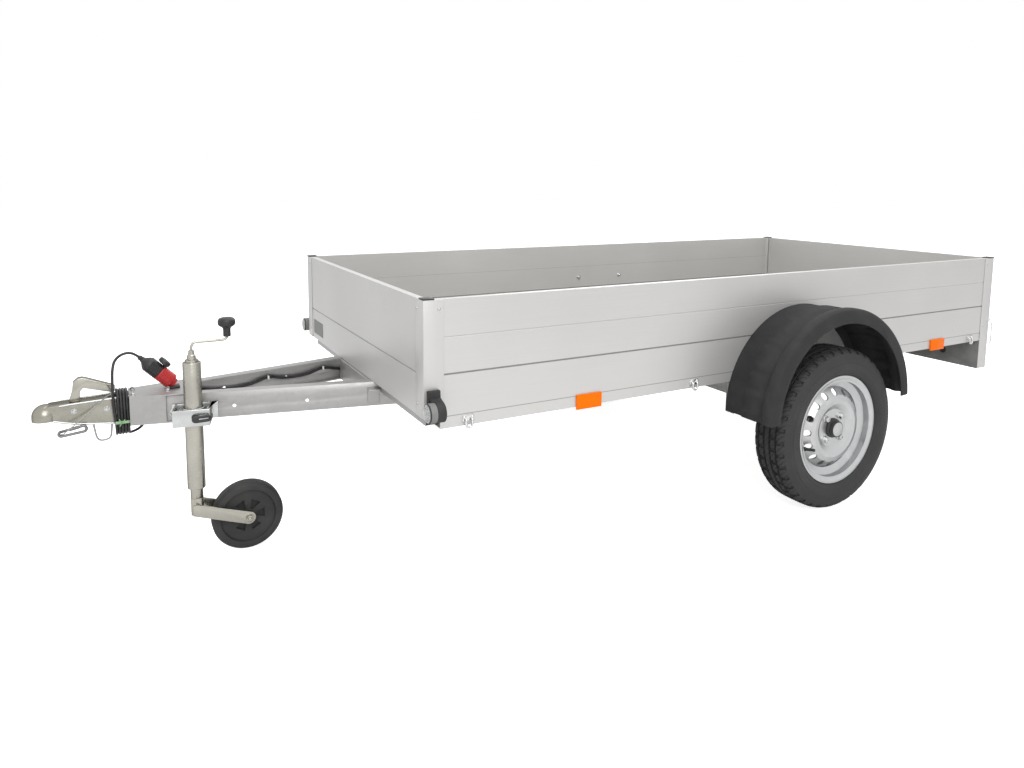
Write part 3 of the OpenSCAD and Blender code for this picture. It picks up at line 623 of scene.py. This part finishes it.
# The coil is worked out turn by turn; the points at its two ends are the cord's route in the frame.
# Both are in millimetres, as ahead takes them.
cableSetup = {
    "radius": 0.0038,
    "turns": 4,
    "start": -662.9,
    "end": -693.7,
    "half": 39.8,
    "low": 360.2,
    "high": 481.4,
    "bend": 29.8,
    "root": [(-18, -622, 382.5), (-18, -622.5, 376), (-15.5, -627, 368), (-9, -635.5, 362),
             (0, -644.5, 360), (10, -654, 360), (18, -660, 361.3)],
    "toPlug": [(36.5, -693.9, 376.2), (39.8, -694.6, 396), (39.8, -696.5, 420), (39.8, -698.5, 455),
               (39, -699.5, 490), (35, -699, 525), (27, -697, 550), (17, -691.5, 569.3), (8, -679, 581.8),
               (3, -662, 587.3), (0.5, -645.7, 584.8), (0, -629.5, 573.5)],
}


def coilTurns(setup):
    # rounded turns about the coupling's neck, up its left side and over to the right
    half, bend = setup["half"], setup["bend"]
    outline = []
    for side, level, first in ((1, "low", -90), (1, "high", 0), (-1, "high", 90), (-1, "low", 180)):
        z = setup["low"] + bend if level == "low" else setup["high"] - bend
        for k in range(10):
            a = math.radians(first + k * 10)
            outline.append((side * (half - bend) + bend * math.cos(a), z + bend * math.sin(a)))
    outline = outline[3:] + outline[:4]
    steps = [math.dist(a, b) for a, b in zip(outline, outline[1:])]
    turn, total = sum(steps), sum(steps) * setup["turns"]
    points, gone = [], 0
    for k in range(setup["turns"]):
        gone = k * turn
        for (x, z), step in zip(outline, steps):
            points.append(ahead(x, setup["start"] + (setup["end"] - setup["start"]) * gone / total, z))
            gone += step
    return points + [ahead(outline[-1][0], setup["end"], outline[-1][1])]


def makePlugCable(setup):
    coil = coilTurns(setup)
    root = smoothed([ahead(*p) for p in setup["root"]] + [coil[0]], 4)[:-1]
    rise = smoothed([coil[-1]] + [ahead(*p) for p in setup["toPlug"]], 4)[1:]
    path = root + coil + rise
    cable = paint(tube("plugCable", path, setup["radius"], 3), jacket)
    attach(cable, "chassis")
    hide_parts("plug_cable", "plug_cable_root", "plug_cable_coil")
    ahead(-18, -622, 384)
    pathLength(path)

    # a twisted tie gathers the turns on the side that shows
    band = box("tieBand", ahead(42, -697, 396), ahead(46, -660, 404), 0.0012)
    bow = []
    for rise, out in ((9, -6), (-8, -5), (7, 8)):
        points = [ahead(45, -681, 400), ahead(49, -681 + out * 0.5, 400 + rise * 0.5),
                  ahead(47, -681 + out, 400 + rise * 1.2)]
        bow.append(tube("tieTail", smoothed(points, 4), 0.0013, 2))
    tie = joined("twistTie", [band] + bow)
    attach(paint(tie, twistTie), "chassis")


safetySetup = {
    "radius": 0.0016,
    "route": [(10.4, -704, 474), (24, -711, 476), (37, -727, 468), (45, -755, 445), (50, -785, 420),
              (51, -806, 403), (48, -819, 392), (42.5, -826, 387), (36, -827.7, 386.2)],
    "hook": (34, -801, 390),
    "hookRadius": 0.0038,
    "hookTilt": 8,
}


def makeSafetyCable(setup):
    # an oval spring hook with a sprung gate along its top, and the cable from it to the coupling's eye
    hook, tilt = ahead(*setup["hook"]), math.radians(setup["hookTilt"])
    across, rise = math.cos(tilt), math.sin(tilt)

    def onHook(back, up):
        return hook + Vector((0, back * across - up * rise, back * rise + up * across))

    ring = []
    for k in range(33):
        a = math.radians(90 + k * 11.25)
        long = 0.0255 if math.cos(a) > 0 else -0.0265
        wide = 0.0082 if math.cos(a) > 0 else 0.0066
        ring.append(onHook(long + wide * math.cos(a), wide * math.sin(a)))
    body = tube("hookBody", ring + ring[1:3], setup["hookRadius"], 3)
    gate = tube("hookGate", [onHook(-0.006, 0.0068), onHook(0.018, 0.0078)], 0.0046, 3)
    clip = paint(joined("springHook", [body, gate]), hookSteel)
    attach(clip, "chassis")
    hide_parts("snap_hook")
    path = rounded(setup["route"])
    cable = paint(tube("safetyCable", path, setup["radius"], 3), strand)
    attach(cable, "chassis")
    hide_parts("safety_cable")
    ahead(9, -704, 474)
    pathLength(path)


plug = makePlug(plugSetup)
makePlugCable(cableSetup)
makeSafetyCable(safetySetup)
print("cords laid")


studioSetup = {
    "world": 0.82,
    "floorTone": 0.86,
    "floorLift": 0.82,
    # name, place, size and power of each round light
    "panels": (
        ("keyPanel", (3.7, -1.5, 3.0), 3.2, 70),
        ("topPanel", (0.2, 0.4, 4.2), 4.5, 70),
        ("rearPanel", (-3.2, 2.8, 2.8), 3.0, 40),
    ),
    "aim": (0, 0, 0.3),
}


def makeStudio(setup):
    clearSelection()
    bpy.ops.mesh.primitive_plane_add(size=60, location=(0, 0, -0.0005))
    floor = bpy.context.object
    floor.name = "studioFloor"
    f = Finish("studioFloor")
    tone = setup["floorTone"]
    seen = f.node("ShaderNodeLightPath", out="Is Camera Ray")
    f.set(Base_Color=(tone, tone, tone), Roughness=0.9, Emission_Color=f.mixed(seen, (0, 0, 0), (1, 1, 1)))
    f.set(Emission_Strength=setup["floorLift"])
    paint(floor, f.material)

    world = bpy.data.worlds.new("studio")
    scene.world = world
    world.use_nodes = True
    tree = world.node_tree
    # full white where the camera or a reflection sees it, a little less as a light
    rays = tree.nodes.new("ShaderNodeLightPath")
    seen = rays.outputs["Is Camera Ray"]
    for kind in ("Is Transmission Ray", "Is Glossy Ray"):
        either = tree.nodes.new("ShaderNodeMath")
        either.operation = "MAXIMUM"
        tree.links.new(seen, either.inputs[0])
        tree.links.new(rays.outputs[kind], either.inputs[1])
        seen = either.outputs[0]
    level = tree.nodes.new("ShaderNodeMapRange")
    level.inputs["To Min"].default_value = setup["world"]
    tree.links.new(seen, level.inputs["Value"])
    back = tree.nodes["Background"]
    back.inputs["Color"].default_value = (1, 1, 1, 1)
    tree.links.new(level.outputs[0], back.inputs["Strength"])

    for name, place, size, power in setup["panels"]:
        light = bpy.data.lights.new(name, "AREA")
        light.shape, light.size, light.energy = "DISK", size, power
        lamp = bpy.data.objects.new(name, light)
        scene.collection.objects.link(lamp)
        lamp.location = place
        lamp.rotation_euler = (Vector(setup["aim"]) - Vector(place)).to_track_quat("-Z", "Y").to_euler()


makeStudio(studioSetup)
scene.view_settings.view_transform = "Standard"
print("studio lit")


# The nodes that no piece replaces
nodeFinish = {
    galvanisedSteel: "floor_bearers",
    wallSide: "side_wall_left side_wall_right side_rail_left side_rail_right",
    wallAcross: "front_wall tailgate",
    zinc: "hinge_pins",
    floorPly: "floor_panel",
    blackRubber: "cable_grommet",
    greySheet: "type_plate",
    wheelSilver: "rim_left rim_right",
}
for finish, names in nodeFinish.items():
    for name in names.split():
        paint(nodes[name], finish)
print("frame painted")


tyreSetup = {"segments": 120, "grooveDepth": 0.0065, "sipeDepth": 0.004}
wheelCentre = middle("tyre_left")


def makeTyre(setup):
    outer = (high("tyre_left").z - low("tyre_left").z) / 2
    half = (high("tyre_left").x - low("tyre_left").x) / 2
    deep = outer - setup["grooveDepth"]
    # half profile from the bead out to the middle of the tread: radius, then height along the axle
    wall = [
        (0.1649, 0.0488), (0.1702, 0.0497), (0.183, 0.0528), (0.1868, 0.0597),
        (0.1905, 0.064), (0.196, 0.0668), (0.1985, 0.0673), (0.2, 0.0667), (0.2012, 0.0676),
        (0.2065, half - 0.0006), (0.212, half), (0.221, half), (0.2245, half),
        (0.2262, half - 0.0014), (0.228, half - 0.0012), (0.236, half - 0.003), (0.244, half - 0.0058),
        (0.25, half - 0.008), (0.2525, half - 0.0086), (0.2575, half - 0.0102), (0.263, half - 0.0138),
        (0.2668, half - 0.0185), (outer - 0.0022, half - 0.0245),
        (outer - 0.001, 0.039), (deep, 0.0378), (deep, 0.0322), (outer - 0.0004, 0.031),
        (outer, 0.016), (deep, 0.0148), (deep, 0.0082), (outer, 0.007),
    ]
    profile = wall + [(r, -x) for r, x in reversed(wall)]
    inside = [(0.1649, -0.034), (outer - 0.076, -0.034), (outer - 0.06, 0.012 - half),
              (outer - 0.02, 0.02 - half), (outer - 0.016, 0.0), (outer - 0.02, half - 0.02),
              (outer - 0.06, half - 0.012), (outer - 0.076, 0.034), (0.1649, 0.034), wall[0]]
    tyre = turned("tyreLeft", profile + inside, (0, 0, 0), (1, 0, 0), setup["segments"], closed=True)
    step = 2 * math.pi / setup["segments"]

    def inSipe(centre, normal):
        # every third strip of the shoulders and of the middle rib is cut across
        radius = math.hypot(centre.y, centre.z)
        slot = round(math.atan2(centre.z, centre.y) / step - 0.5)
        x = abs(centre.x)
        lug = 0.04 < x < half - 0.01 and radius > 0.25
        rib = 0.016 < x < 0.031 and radius > outer - 0.002
        return (lug and slot % 3 == 0) or (rib and (slot + 1) % 3 == 0)

    chooseFaces(tyre, inSipe)
    bpy.ops.mesh.extrude_region_shrink_fatten(TRANSFORM_OT_shrink_fatten={"value": -setup["sipeDepth"]})
    setMode("OBJECT")
    smoothShaded(tyre, 32)
    tyre.data.transform(Matrix.Translation(wheelCentre))
    paint(tyre, tyreRubber)
    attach(tyre, "wheel_left")
    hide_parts("tyre_left")
    twin = mirrored(tyre, "tyreRight")
    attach(twin, "wheel_right")
    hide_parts("tyre_right")


hubSetup = {
    "face": 0.034,  # the disc's outer face along the axle, from the tyre's middle
    "capOut": 0.055,
    "studCircle": 0.05,
    "valveTurn": 200,
    "valveReach": 0.146,
}


def makeHub(setup):
    # black cap over the bearing, four taper bolts in the disc's seats, and the valve
    face, out = setup["face"], setup["capOut"]
    cap = turned(
        "hubCap",
        [(0.0325, face - 0.004), (0.0325, face + 0.006), (0.03, face + 0.008), (0.0282, face + 0.009),
         (0.0278, out - 0.004), (0.0268, out - 0.001), (0.024, out), (0.0008, out)],
        wheelCentre, (1, 0, 0), 48,
    )
    paint(cap, blackPlastic)
    capFace = turned(
        "hubCapFace",
        [(0.0232, out - 0.001), (0.0232, out + 0.001), (0.0215, out + 0.0018), (0.0008, out + 0.0018)],
        wheelCentre, (1, 0, 0), 40,
    )
    paint(capFace, wheelSilver)
    seat = turned("seat", [(0.0125, -0.001), (0.012, 0.0015), (0.01, 0.003), (0.0088, 0.003)], sides=24)
    head = turned(
        "head",
        [(0.0098, 0.002), (0.0098, 0.01), (0.0088, 0.0118), (0.005, 0.0122), (0.0046, 0.0108),
         (0.001, 0.0108)],
        sides=6,
    )
    bolt = smoothShaded(joined("wheelBolt", [seat, head]), 25)
    bolt.data.transform(Matrix.Rotation(math.radians(90), 4, "Y"))
    bolts = []
    reach = setup["studCircle"]
    for k in range(4):
        a = math.radians(45 + 90 * k)
        spot = wheelCentre + Vector((face, reach * math.cos(a), reach * math.sin(a)))
        moved = Matrix.Translation(spot) @ Matrix.Rotation(a, 4, "X")
        bolts.append(copied(bolt, "wheelBolt" + str(k), moved))
    bpy.data.objects.remove(bolt)
    bolts = paint(joined("wheelBoltsLeft", bolts), brightZinc)
    # the casting keeps only what lies behind the disc's face
    back = softened("hubBodyLeft", "hub_left", 0.0004, castingGrey)
    chooseFaces(back, lambda centre, normal: centre.x > wheelCentre.x + face - 0.0035)
    bpy.ops.mesh.delete(type="FACE")
    bpy.ops.mesh.select_all(action="SELECT")
    bpy.ops.mesh.select_mode(type="EDGE")
    bpy.ops.mesh.select_all(action="DESELECT")
    bpy.ops.mesh.select_non_manifold()
    bpy.ops.mesh.fill_holes(sides=0)
    setMode("OBJECT")
    a, reach = math.radians(setup["valveTurn"]), setup["valveReach"]
    valve = turned(
        "valveLeft",
        [(0.0075, 0), (0.007, 0.006), (0.0052, 0.01), (0.0048, 0.024), (0.0041, 0.026), (0.0046, 0.027),
         (0.0046, 0.036), (0.0035, 0.038)],
        wheelCentre + Vector((0.0345, reach * math.cos(a), reach * math.sin(a))),
        (1, -0.35 * math.cos(a), -0.35 * math.sin(a)), 20,
    )
    paint(valve, blackRubber)
    for piece in (cap, capFace, bolts, back, valve):
        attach(piece, "wheel_left")
        twin = mirrored(piece, piece.name.replace("Left", "") + "Right")
        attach(twin, "wheel_right")
        if piece == back:
            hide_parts("hub_right")


makeTyre(tyreSetup)
makeHub(hubSetup)
print("road wheels made")


# Width of the rounded edge on each copied node, in metres
edgeSetup = {
    galvanisedSteel: {"drawbar_arm_left": 0.0028, "drawbar_arm_right": 0.0028, "drawbar_head": 0.002,
                      "drawbar_brackets": 0.0012, "axle_beam": 0.003, "suspension_arm_left": 0.002,
                      "suspension_arm_right": 0.002, "rear_sill": 0.0012},
    postMetal: {"front_posts": 0.0008, "rear_posts": 0.0008},
    shadedZinc: {"coupling_head": 0.003},
    zinc: {"coupling_handle": 0.0022, "jockey_tube": 0.0012, "jockey_fork": 0.0016,
           "jockey_leg": 0.0006},
    chrome: {"tailgate_latches": 0.001},
    brightZinc: {"jockey_clamp": 0.0016},
    blackPlastic: {"corner_caps": 0.0014},
    blackRubber: {"jockey_wheel": 0.0022},
    guardPlastic: {"mudguard_left": 0.0012, "mudguard_right": 0.0012},
    orangeReflector: {"side_reflectors": 0.0012},
    greySheet: {"light_board": 0.0006, "mudguard_stays": 0.0006},
}


def softenNodes(setup):
    for finish, edges in setup.items():
        for node, width in edges.items():
            words = node.split("_")
            softened(words[0] + "".join(word.title() for word in words[1:]), node, width, finish)


softenNodes(edgeSetup)
print("edges softened")


nose = {
    "loopWire": 0.0026,
    "lip": 0.003,
    "boltSize": 0.0058,
    "armBoltSize": 0.0095,
    # side, place along the trailer, height, and distance out from the arm's middle
    "armBolts": ((-1, -585, 431, 4.6), (-1, -527, 431, 6.6), (1, -549, 419, 6.3), (1, -455, 419, 6.3)),
}
# the arms' middle line: its distance from the trailer's under the front wall, and how it spreads
armLine = {"start": 190, "spread": math.tan(math.radians(12.2))}


def armMiddle(y):  # how far an arm's middle stands from the trailer's, in millimetres
    return armLine["start"] + y * armLine["spread"]


def makeCouplingParts(setup):
    # the bent wire under the channel, the channel's rolled edges, and the bolts of head and arms
    wire = [(-752, 408), (-751, 392), (-748, 372), (-745, 356), (-740, 346.5), (-732, 343),
            (-722, 343.6), (-714, 346.5), (-709, 354), (-707, 370), (-705, 392), (-704, 408)]
    path = rounded([(0, y, z) for y, z in wire])
    loop = paint(tube("cableLoop", path, setup["loopWire"], 3), galvanisedSteel)
    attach(loop, "chassis")
    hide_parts("cable_loop")
    softened("cableEye", "cable_anchor", 0.0006, brightZinc)
    lips = []
    for side in (-1, 1):
        foot = [(24, -845, 421), (26.5, -795, 408.5), (28, -730, 400), (28, -661, 392.5)]
        brow = [(26.5, -829, 462), (28, -795, 464.5), (28, -730, 466.8), (28, -661, 469.5)]
        for route in (foot, brow):
            path = rounded([(side * x, y, z) for x, y, z in route])
            lips.append(tube("couplingLip", path, setup["lip"], 3))
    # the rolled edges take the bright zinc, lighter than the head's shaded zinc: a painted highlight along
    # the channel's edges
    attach(paint(joined("couplingLips", lips), brightZinc), "chassis")
    bolts = []
    for side in (-1, 1):
        for y, z in ((-716, 440), (-682, 440), (-795, 444)):
            bolts.append(hexBolt("couplingBolt", setup["boltSize"], ahead(side * 28, y, z), (side, 0, 0)))
    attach(joined("couplingBolts", bolts), "chassis")
    bolts = []
    for x in (-33, 33):
        for y in (-650, -560):
            bolts.append(hexBolt("headBolt", setup["boltSize"], ahead(x, y, 472), (0, 0, 1)))
    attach(joined("headBolts", bolts), "chassis")
    arms = []
    for side, y, z, out in setup["armBolts"]:
        spot = ahead(side * (armMiddle(y) + out), y, z)
        arms.append(hexBolt("armBolt", setup["armBoltSize"], spot, (side * 0.977, 0.211, 0)))
    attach(joined("armBolts", arms), "chassis")


makeCouplingParts(nose)
print("coupling dressed")


jockey = {
    "crankRadius": 0.0037,
    "crankArm": 96,
    "armHeight": 627,
    "knob": 0.024,
    "axle": (36, -367, 100),  # half the width over the bolt heads, place along the trailer, height
    "boltSize": 0.0092,
}
tubeAxis = (126, -502)  # where the jockey tube stands


def makeCrank(setup):
    # bent rod from the tube's cap to a mushroom knob
    x, y = tubeAxis
    arm, z = setup["crankArm"], setup["armHeight"]
    route = [(0, 576), (0, 590), (0, 606), (1, 616), (5, 623.5), (14, z), (40, z), (62, z), (84, z),
             (92, z + 2.5), (arm - 0.8, z + 7), (arm, z + 19)]
    path = rounded([(x, y + back, up) for back, up in route])
    rod = tube("crankRod", path, setup["crankRadius"], 4)
    collar = turned(
        "crankCollar",
        [(0.017, 0.0), (0.017, 0.004), (0.012, 0.0055), (0.0115, 0.016), (0.0085, 0.019), (0.0072, 0.03),
         (0.004, 0.032)],
        ahead(x, y, 574.8), sides=32,
    )
    crank = paint(joined("crankRod", [rod, collar]), zinc)
    knob = turned(
        "crankKnob",
        [(0.007, 0.0), (0.0098, 0.001), (0.0105, 0.004), (0.0102, 0.018), (0.0108, 0.024), (0.0135, 0.0275),
         (0.0195, 0.031), (0.0228, 0.034), (setup["knob"], 0.038), (setup["knob"], 0.044), (0.0232, 0.0485),
         (0.0205, 0.0525), (0.014, 0.055), (0.001, 0.0556)],
        ahead(x, y + arm, z + 8.5), sides=40,
    )
    paint(knob, blackPlastic)
    for piece in (crank, knob):
        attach(piece, "jockey_crank")
    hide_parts("jockey_crank")

    cap = turned(
        "tubeCap",
        [(0.0236, 0), (0.024, 0.001), (0.0228, 0.0022), (0.018, 0.003), (0.0176, 0.0045), (0.009, 0.0045)],
        ahead(x, y, 569.5), sides=40,
    )
    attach(paint(cap, zinc), "jockey_tube")


clampSetup = {"middle": (184, -487, 422), "half": 14, "endDepth": 8, "endHeight": 6, "bar": 0.0042}


def makeClampHandle(setup):
    # an oval bar on the clamp's screw
    x, y, z = setup["middle"]
    ring = []
    for k in range(25):
        a = math.radians(k * 15)
        back = setup["half"] if math.cos(a) > 0 else -setup["half"]
        back += setup["endDepth"] * math.cos(a)
        ring.append(ahead(x, y + back, z + setup["endHeight"] * math.sin(a)))
    bar = tube("clampBar", ring + ring[1:2], setup["bar"], 3)
    screw = turned(
        "clampScrew",
        [(0.0095, 0), (0.0095, 0.005), (0.005, 0.006), (0.005, 0.022), (0.007, 0.023), (0.007, 0.028)],
        ahead(161, -502, 422), (1, 0, 0), 24,
    )
    handle = paint(joined("clampHandle", [bar, screw]), blackPlastic)
    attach(handle, "chassis")
    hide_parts("clamp_handle")


def makeJockeyAxle(setup):
    # the heads of the jockey wheel's axle bolt, outside its fork
    half, y, z = setup["axle"]
    heads = []
    for side in (-1, 1):
        spot = ahead(tubeAxis[0] + side * half, y, z)
        heads.append(hexBolt("jockeyBolt", setup["boltSize"], spot, (side, 0, 0), zinc))
    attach(joined("jockeyBolts", heads), "jockey_fork")


makeCrank(jockey)
makeClampHandle(clampSetup)
makeJockeyAxle(jockey)
print("jockey wheel dressed")


lampSetup = {"centre": (651, 499), "radius": 0.0256, "face": -6}


def makeFrontLamp(setup):
    # clear dome in a grey ring, on the rubber arm's round end
    x, z = setup["centre"]
    r = setup["radius"]
    arm = softened("lampArmLeft", "front_lamp_left", 0.0022, blackRubber)
    centre = ahead(x, setup["face"], z)
    shell = turned(
        "lampShell",
        [(r - 0.001, -0.017), (r, -0.016), (r, -0.001), (r - 0.0008, 0.0005), (r - 0.0022, 0.0005)],
        centre, (0, -1, 0), 48,
    )
    paint(shell, greySheet)
    dome = turned(
        "lampLens",
        [(r - 0.0018, 0.0), (r - 0.002, 0.004), (r - 0.005, 0.0065), (r - 0.011, 0.008), (0.001, 0.0088)],
        centre, (0, -1, 0), 48,
    )
    paint(dome, clearLens)
    for piece in (shell, dome):
        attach(piece, "chassis")
        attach(mirrored(piece, piece.name + "Right"), "chassis")
    twin = mirrored(arm, "lampArmRight")
    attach(twin, "chassis")
    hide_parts("front_lamp_right")


makeFrontLamp(lampSetup)


tailSetup = {
    "parts": ((0.0, 0.07, redLens), (0.074, 0.144, redLens), (0.148, 0.218, amberLens)),
    "width": 0.218,
    "back": 0.026,
    "lensFrom": 0.02,
    "lensTo": 0.046,
}


def makeTailLamps(setup):
    # each cluster is a black back with three lenses standing out of it
    y = low("tail_lamps").y
    z0, z1 = low("tail_lamps").z, high("tail_lamps").z
    x0 = high("tail_lamps").x - setup["width"]
    back = box("tailLampBack", (x0, y, z0), (x0 + setup["width"], y + setup["back"], z1), 0.003)
    paint(back, blackPlastic)
    made = [back]
    for k, (start, end, finish) in enumerate(setup["parts"]):
        near = (x0 + start + 0.002, y + setup["lensFrom"], z0 + 0.004)
        far = (x0 + end - 0.001, y + setup["lensTo"], z1 - 0.004)
        made.append(paint(box("tailLens" + str(k), near, far, 0.006, 3), finish))
    for piece in made:
        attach(piece, "chassis")
        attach(mirrored(piece, piece.name + "Right"), "chassis")
    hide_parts("tail_lamps")


makeTailLamps(tailSetup)


plateSetup = {"thick": 0.0035, "height": 0.11, "screwOut": 0.24, "lampHalf": 0.045, "lensHalf": 0.034}


def makePlate(setup):
    # blank plate with rounded corners, two screws and a lamp above it
    start, end = low("number_plate"), high("number_plate")
    face = start.y + setup["thick"]
    sheet = box("numberPlate", start, (end.x, face, start.z + setup["height"]), 0.0012)
    paint(sheet, whiteSheet)
    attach(sheet, "chassis")
    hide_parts("number_plate")
    screws = []
    for side in (-1, 1):
        spot = (side * setup["screwOut"], face, start.z + setup["height"] / 2)
        screws.append(domeRivet("plateScrew", 0.006, spot, (0, 1, 0), brightZinc))
    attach(joined("plateScrews", screws), "chassis")
    half = setup["lampHalf"]
    hood = box("plateLamp", (-half, face, end.z - 0.022), (half, end.y, end.z), 0.004, 3)
    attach(paint(hood, blackPlastic), "chassis")
    half = setup["lensHalf"]
    near, far = (-half, start.y + 0.012, end.z - 0.0245), (half, end.y - 0.006, end.z - 0.019)
    glow = box("plateLampLens", near, far, 0.0012)
    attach(paint(glow, clearLens), "chassis")


makePlate(plateSetup)
print("lamps made")


# The hooks stand at these distances behind the front wall, in millimetres
hookSetup = {"wire": 0.0031, "backs": (127, 917, 1843, 2411), "height": 452}


def makeRopeHooks(setup):
    # a bent eye on a screwed plate; one is modelled, the rest are copies
    z = setup["height"]
    leg = [(602, -8, z + 3), (607, -8.5, z + 3), (611, -9, z - 1), (611.5, -9.5, z - 8),
           (611.5, -8, z - 15), (611.5, -4.5, z - 19.5)]
    route = leg + [(611.5, 0, z - 21)] + [(x, -y, up) for x, y, up in reversed(leg)]
    wire = tube("hookWire", rounded(route, 3), setup["wire"], 3)
    plate = box("hookPlate", ahead(602.4, -17, z - 5), ahead(605.2, 17, z + 12), 0.0008)
    screws = [domeRivet("hookScrew", 0.0042, ahead(605.2, y, z + 6), (1, 0, 0), chrome) for y in (-12, 12)]
    hook = paint(joined("ropeHook", [wire, plate] + screws), chrome)
    hook.data.transform(Matrix.Translation((0, setup["backs"][0] / 1000, 0)))
    row = scattered("ropeHooksLeft", hook, [(0, back / 1000, 0) for back in setup["backs"]])
    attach(row, "chassis")
    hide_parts("rope_hooks")
    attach(mirrored(row, "ropeHooksRight"), "chassis")


makeRopeHooks(hookSetup)


# Heights above the walls' foot, and how far a screw is from its corner
rivetSetup = {"radius": 0.0038, "heights": (0.034, 0.288), "inset": 0.0435}


def makePostRivets(setup):
    # screws through both legs of each corner post
    wide, back, inset = high("front_posts").x, high("rear_posts").y, setup["inset"]
    spots = []
    for height in setup["heights"]:
        z = deckZ + height
        for side in (-1, 1):
            spots.append(((side * wide, frontY + inset, z), (side, 0, 0)))
            spots.append(((side * wide, back - inset, z), (side, 0, 0)))
            spots.append(((side * (wide - inset), frontY, z), (0, -1, 0)))
    made = [domeRivet("postScrew", setup["radius"], spot, aim, brightZinc) for spot, aim in spots]
    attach(joined("postScrews", made), "chassis")


makePostRivets(rivetSetup)


guardBolts = {"size": 0.0075, "backs": (1.27, 1.505), "height": 0.628, "wall": 0.02}


def makeGuardBolts(setup):
    # washered bolts that hold the mudguards, inside the load box
    inner = high("side_wall_left").x - setup["wall"]
    made = []
    for side in (-1, 1):
        for back in setup["backs"]:
            spot = (side * inner, frontY + back, setup["height"])
            made.append(hexBolt("guardBolt", setup["size"], spot, (-side, 0, 0)))
    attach(joined("guardBolts", made), "chassis")


makeGuardBolts(guardBolts)


loomSetup = {
    "radius": 0.0045,
    "start": -540,
    "clips": (-470, -250, -60, 200, 520, 860, 1180),
    "inside": 11,  # from the arm's middle towards the trailer's
    "height": 437,
    "sag": 22,  # at most, in millimetres; less between near clips
}


def makeLoom(setup):
    # the lamp cable lies along the right arm and hangs slack between its clips
    def beside(y):
        return setup["inside"] - armMiddle(y)

    points = []
    for start, end in zip((setup["start"],) + setup["clips"], setup["clips"]):
        for t in (0, 0.25, 0.5, 0.75):
            y = start + (end - start) * t
            drop = 4 * t * (1 - t) * min(setup["sag"], (end - start) * 0.07)
            points.append(ahead(beside(y), y, setup["height"] - drop))
    points.append(ahead(beside(end), end, setup["height"]))
    loom = paint(tube("lampCable", smoothed(points, 3), setup["radius"], 3), jacket)
    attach(loom, "chassis")
    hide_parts("wiring_loom")
    made = []
    for y in setup["clips"]:
        x, z = beside(y), setup["height"]
        made.append(box("cableClip", ahead(x - 7, y - 3, z - 6.5), ahead(x + 6, y + 3, z + 6.5), 0.0012))
    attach(paint(joined("cableClips", made), whiteSheet), "chassis")


makeLoom(loomSetup)


latchSetup = {
    "wire": 0.0022,
    "route": [(606.5, 2546, 500), (608, 2550, 506), (609, 2556, 500), (609, 2557, 470), (609, 2557, 440),
              (609, 2555, 424), (609, 2550, 420), (609, 2546, 425)],
}


def makeLatchWires(setup):
    # sprung wire loops that hang beside the tailgate's hinges
    wire = tube("latchWireLeft", rounded(setup["route"], 3), setup["wire"], 3)
    boss = turned(
        "latchBoss",
        [(0.0075, 0), (0.0075, 0.003), (0.005, 0.005), (0.001, 0.0055)],
        ahead(605, 2534, 520), (1, 0, 0), 20,
    )
    latch = paint(joined("latchWireLeft", [wire, boss]), chrome)
    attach(latch, "chassis")
    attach(mirrored(latch, "latchWireRight"), "chassis")


makeLatchWires(latchSetup)


floorScrews = {"rows": (0.042, 0.731, 1.214, 1.722, 2.154), "columns": (-0.52, -0.26, 0.0, 0.26, 0.52)}


def makeFloorScrews(setup):
    top = high("floor_panel").z
    spots = [(x, frontY + y, top - 0.0004) for y in setup["rows"] for x in setup["columns"]]
    first = domeRivet("floorScrew", 0.0062, spots[0], (0, 0, 1), brightZinc)
    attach(scattered("floorScrews", first, spots), "chassis")


makeFloorScrews(floorScrews)
print("fixings set")
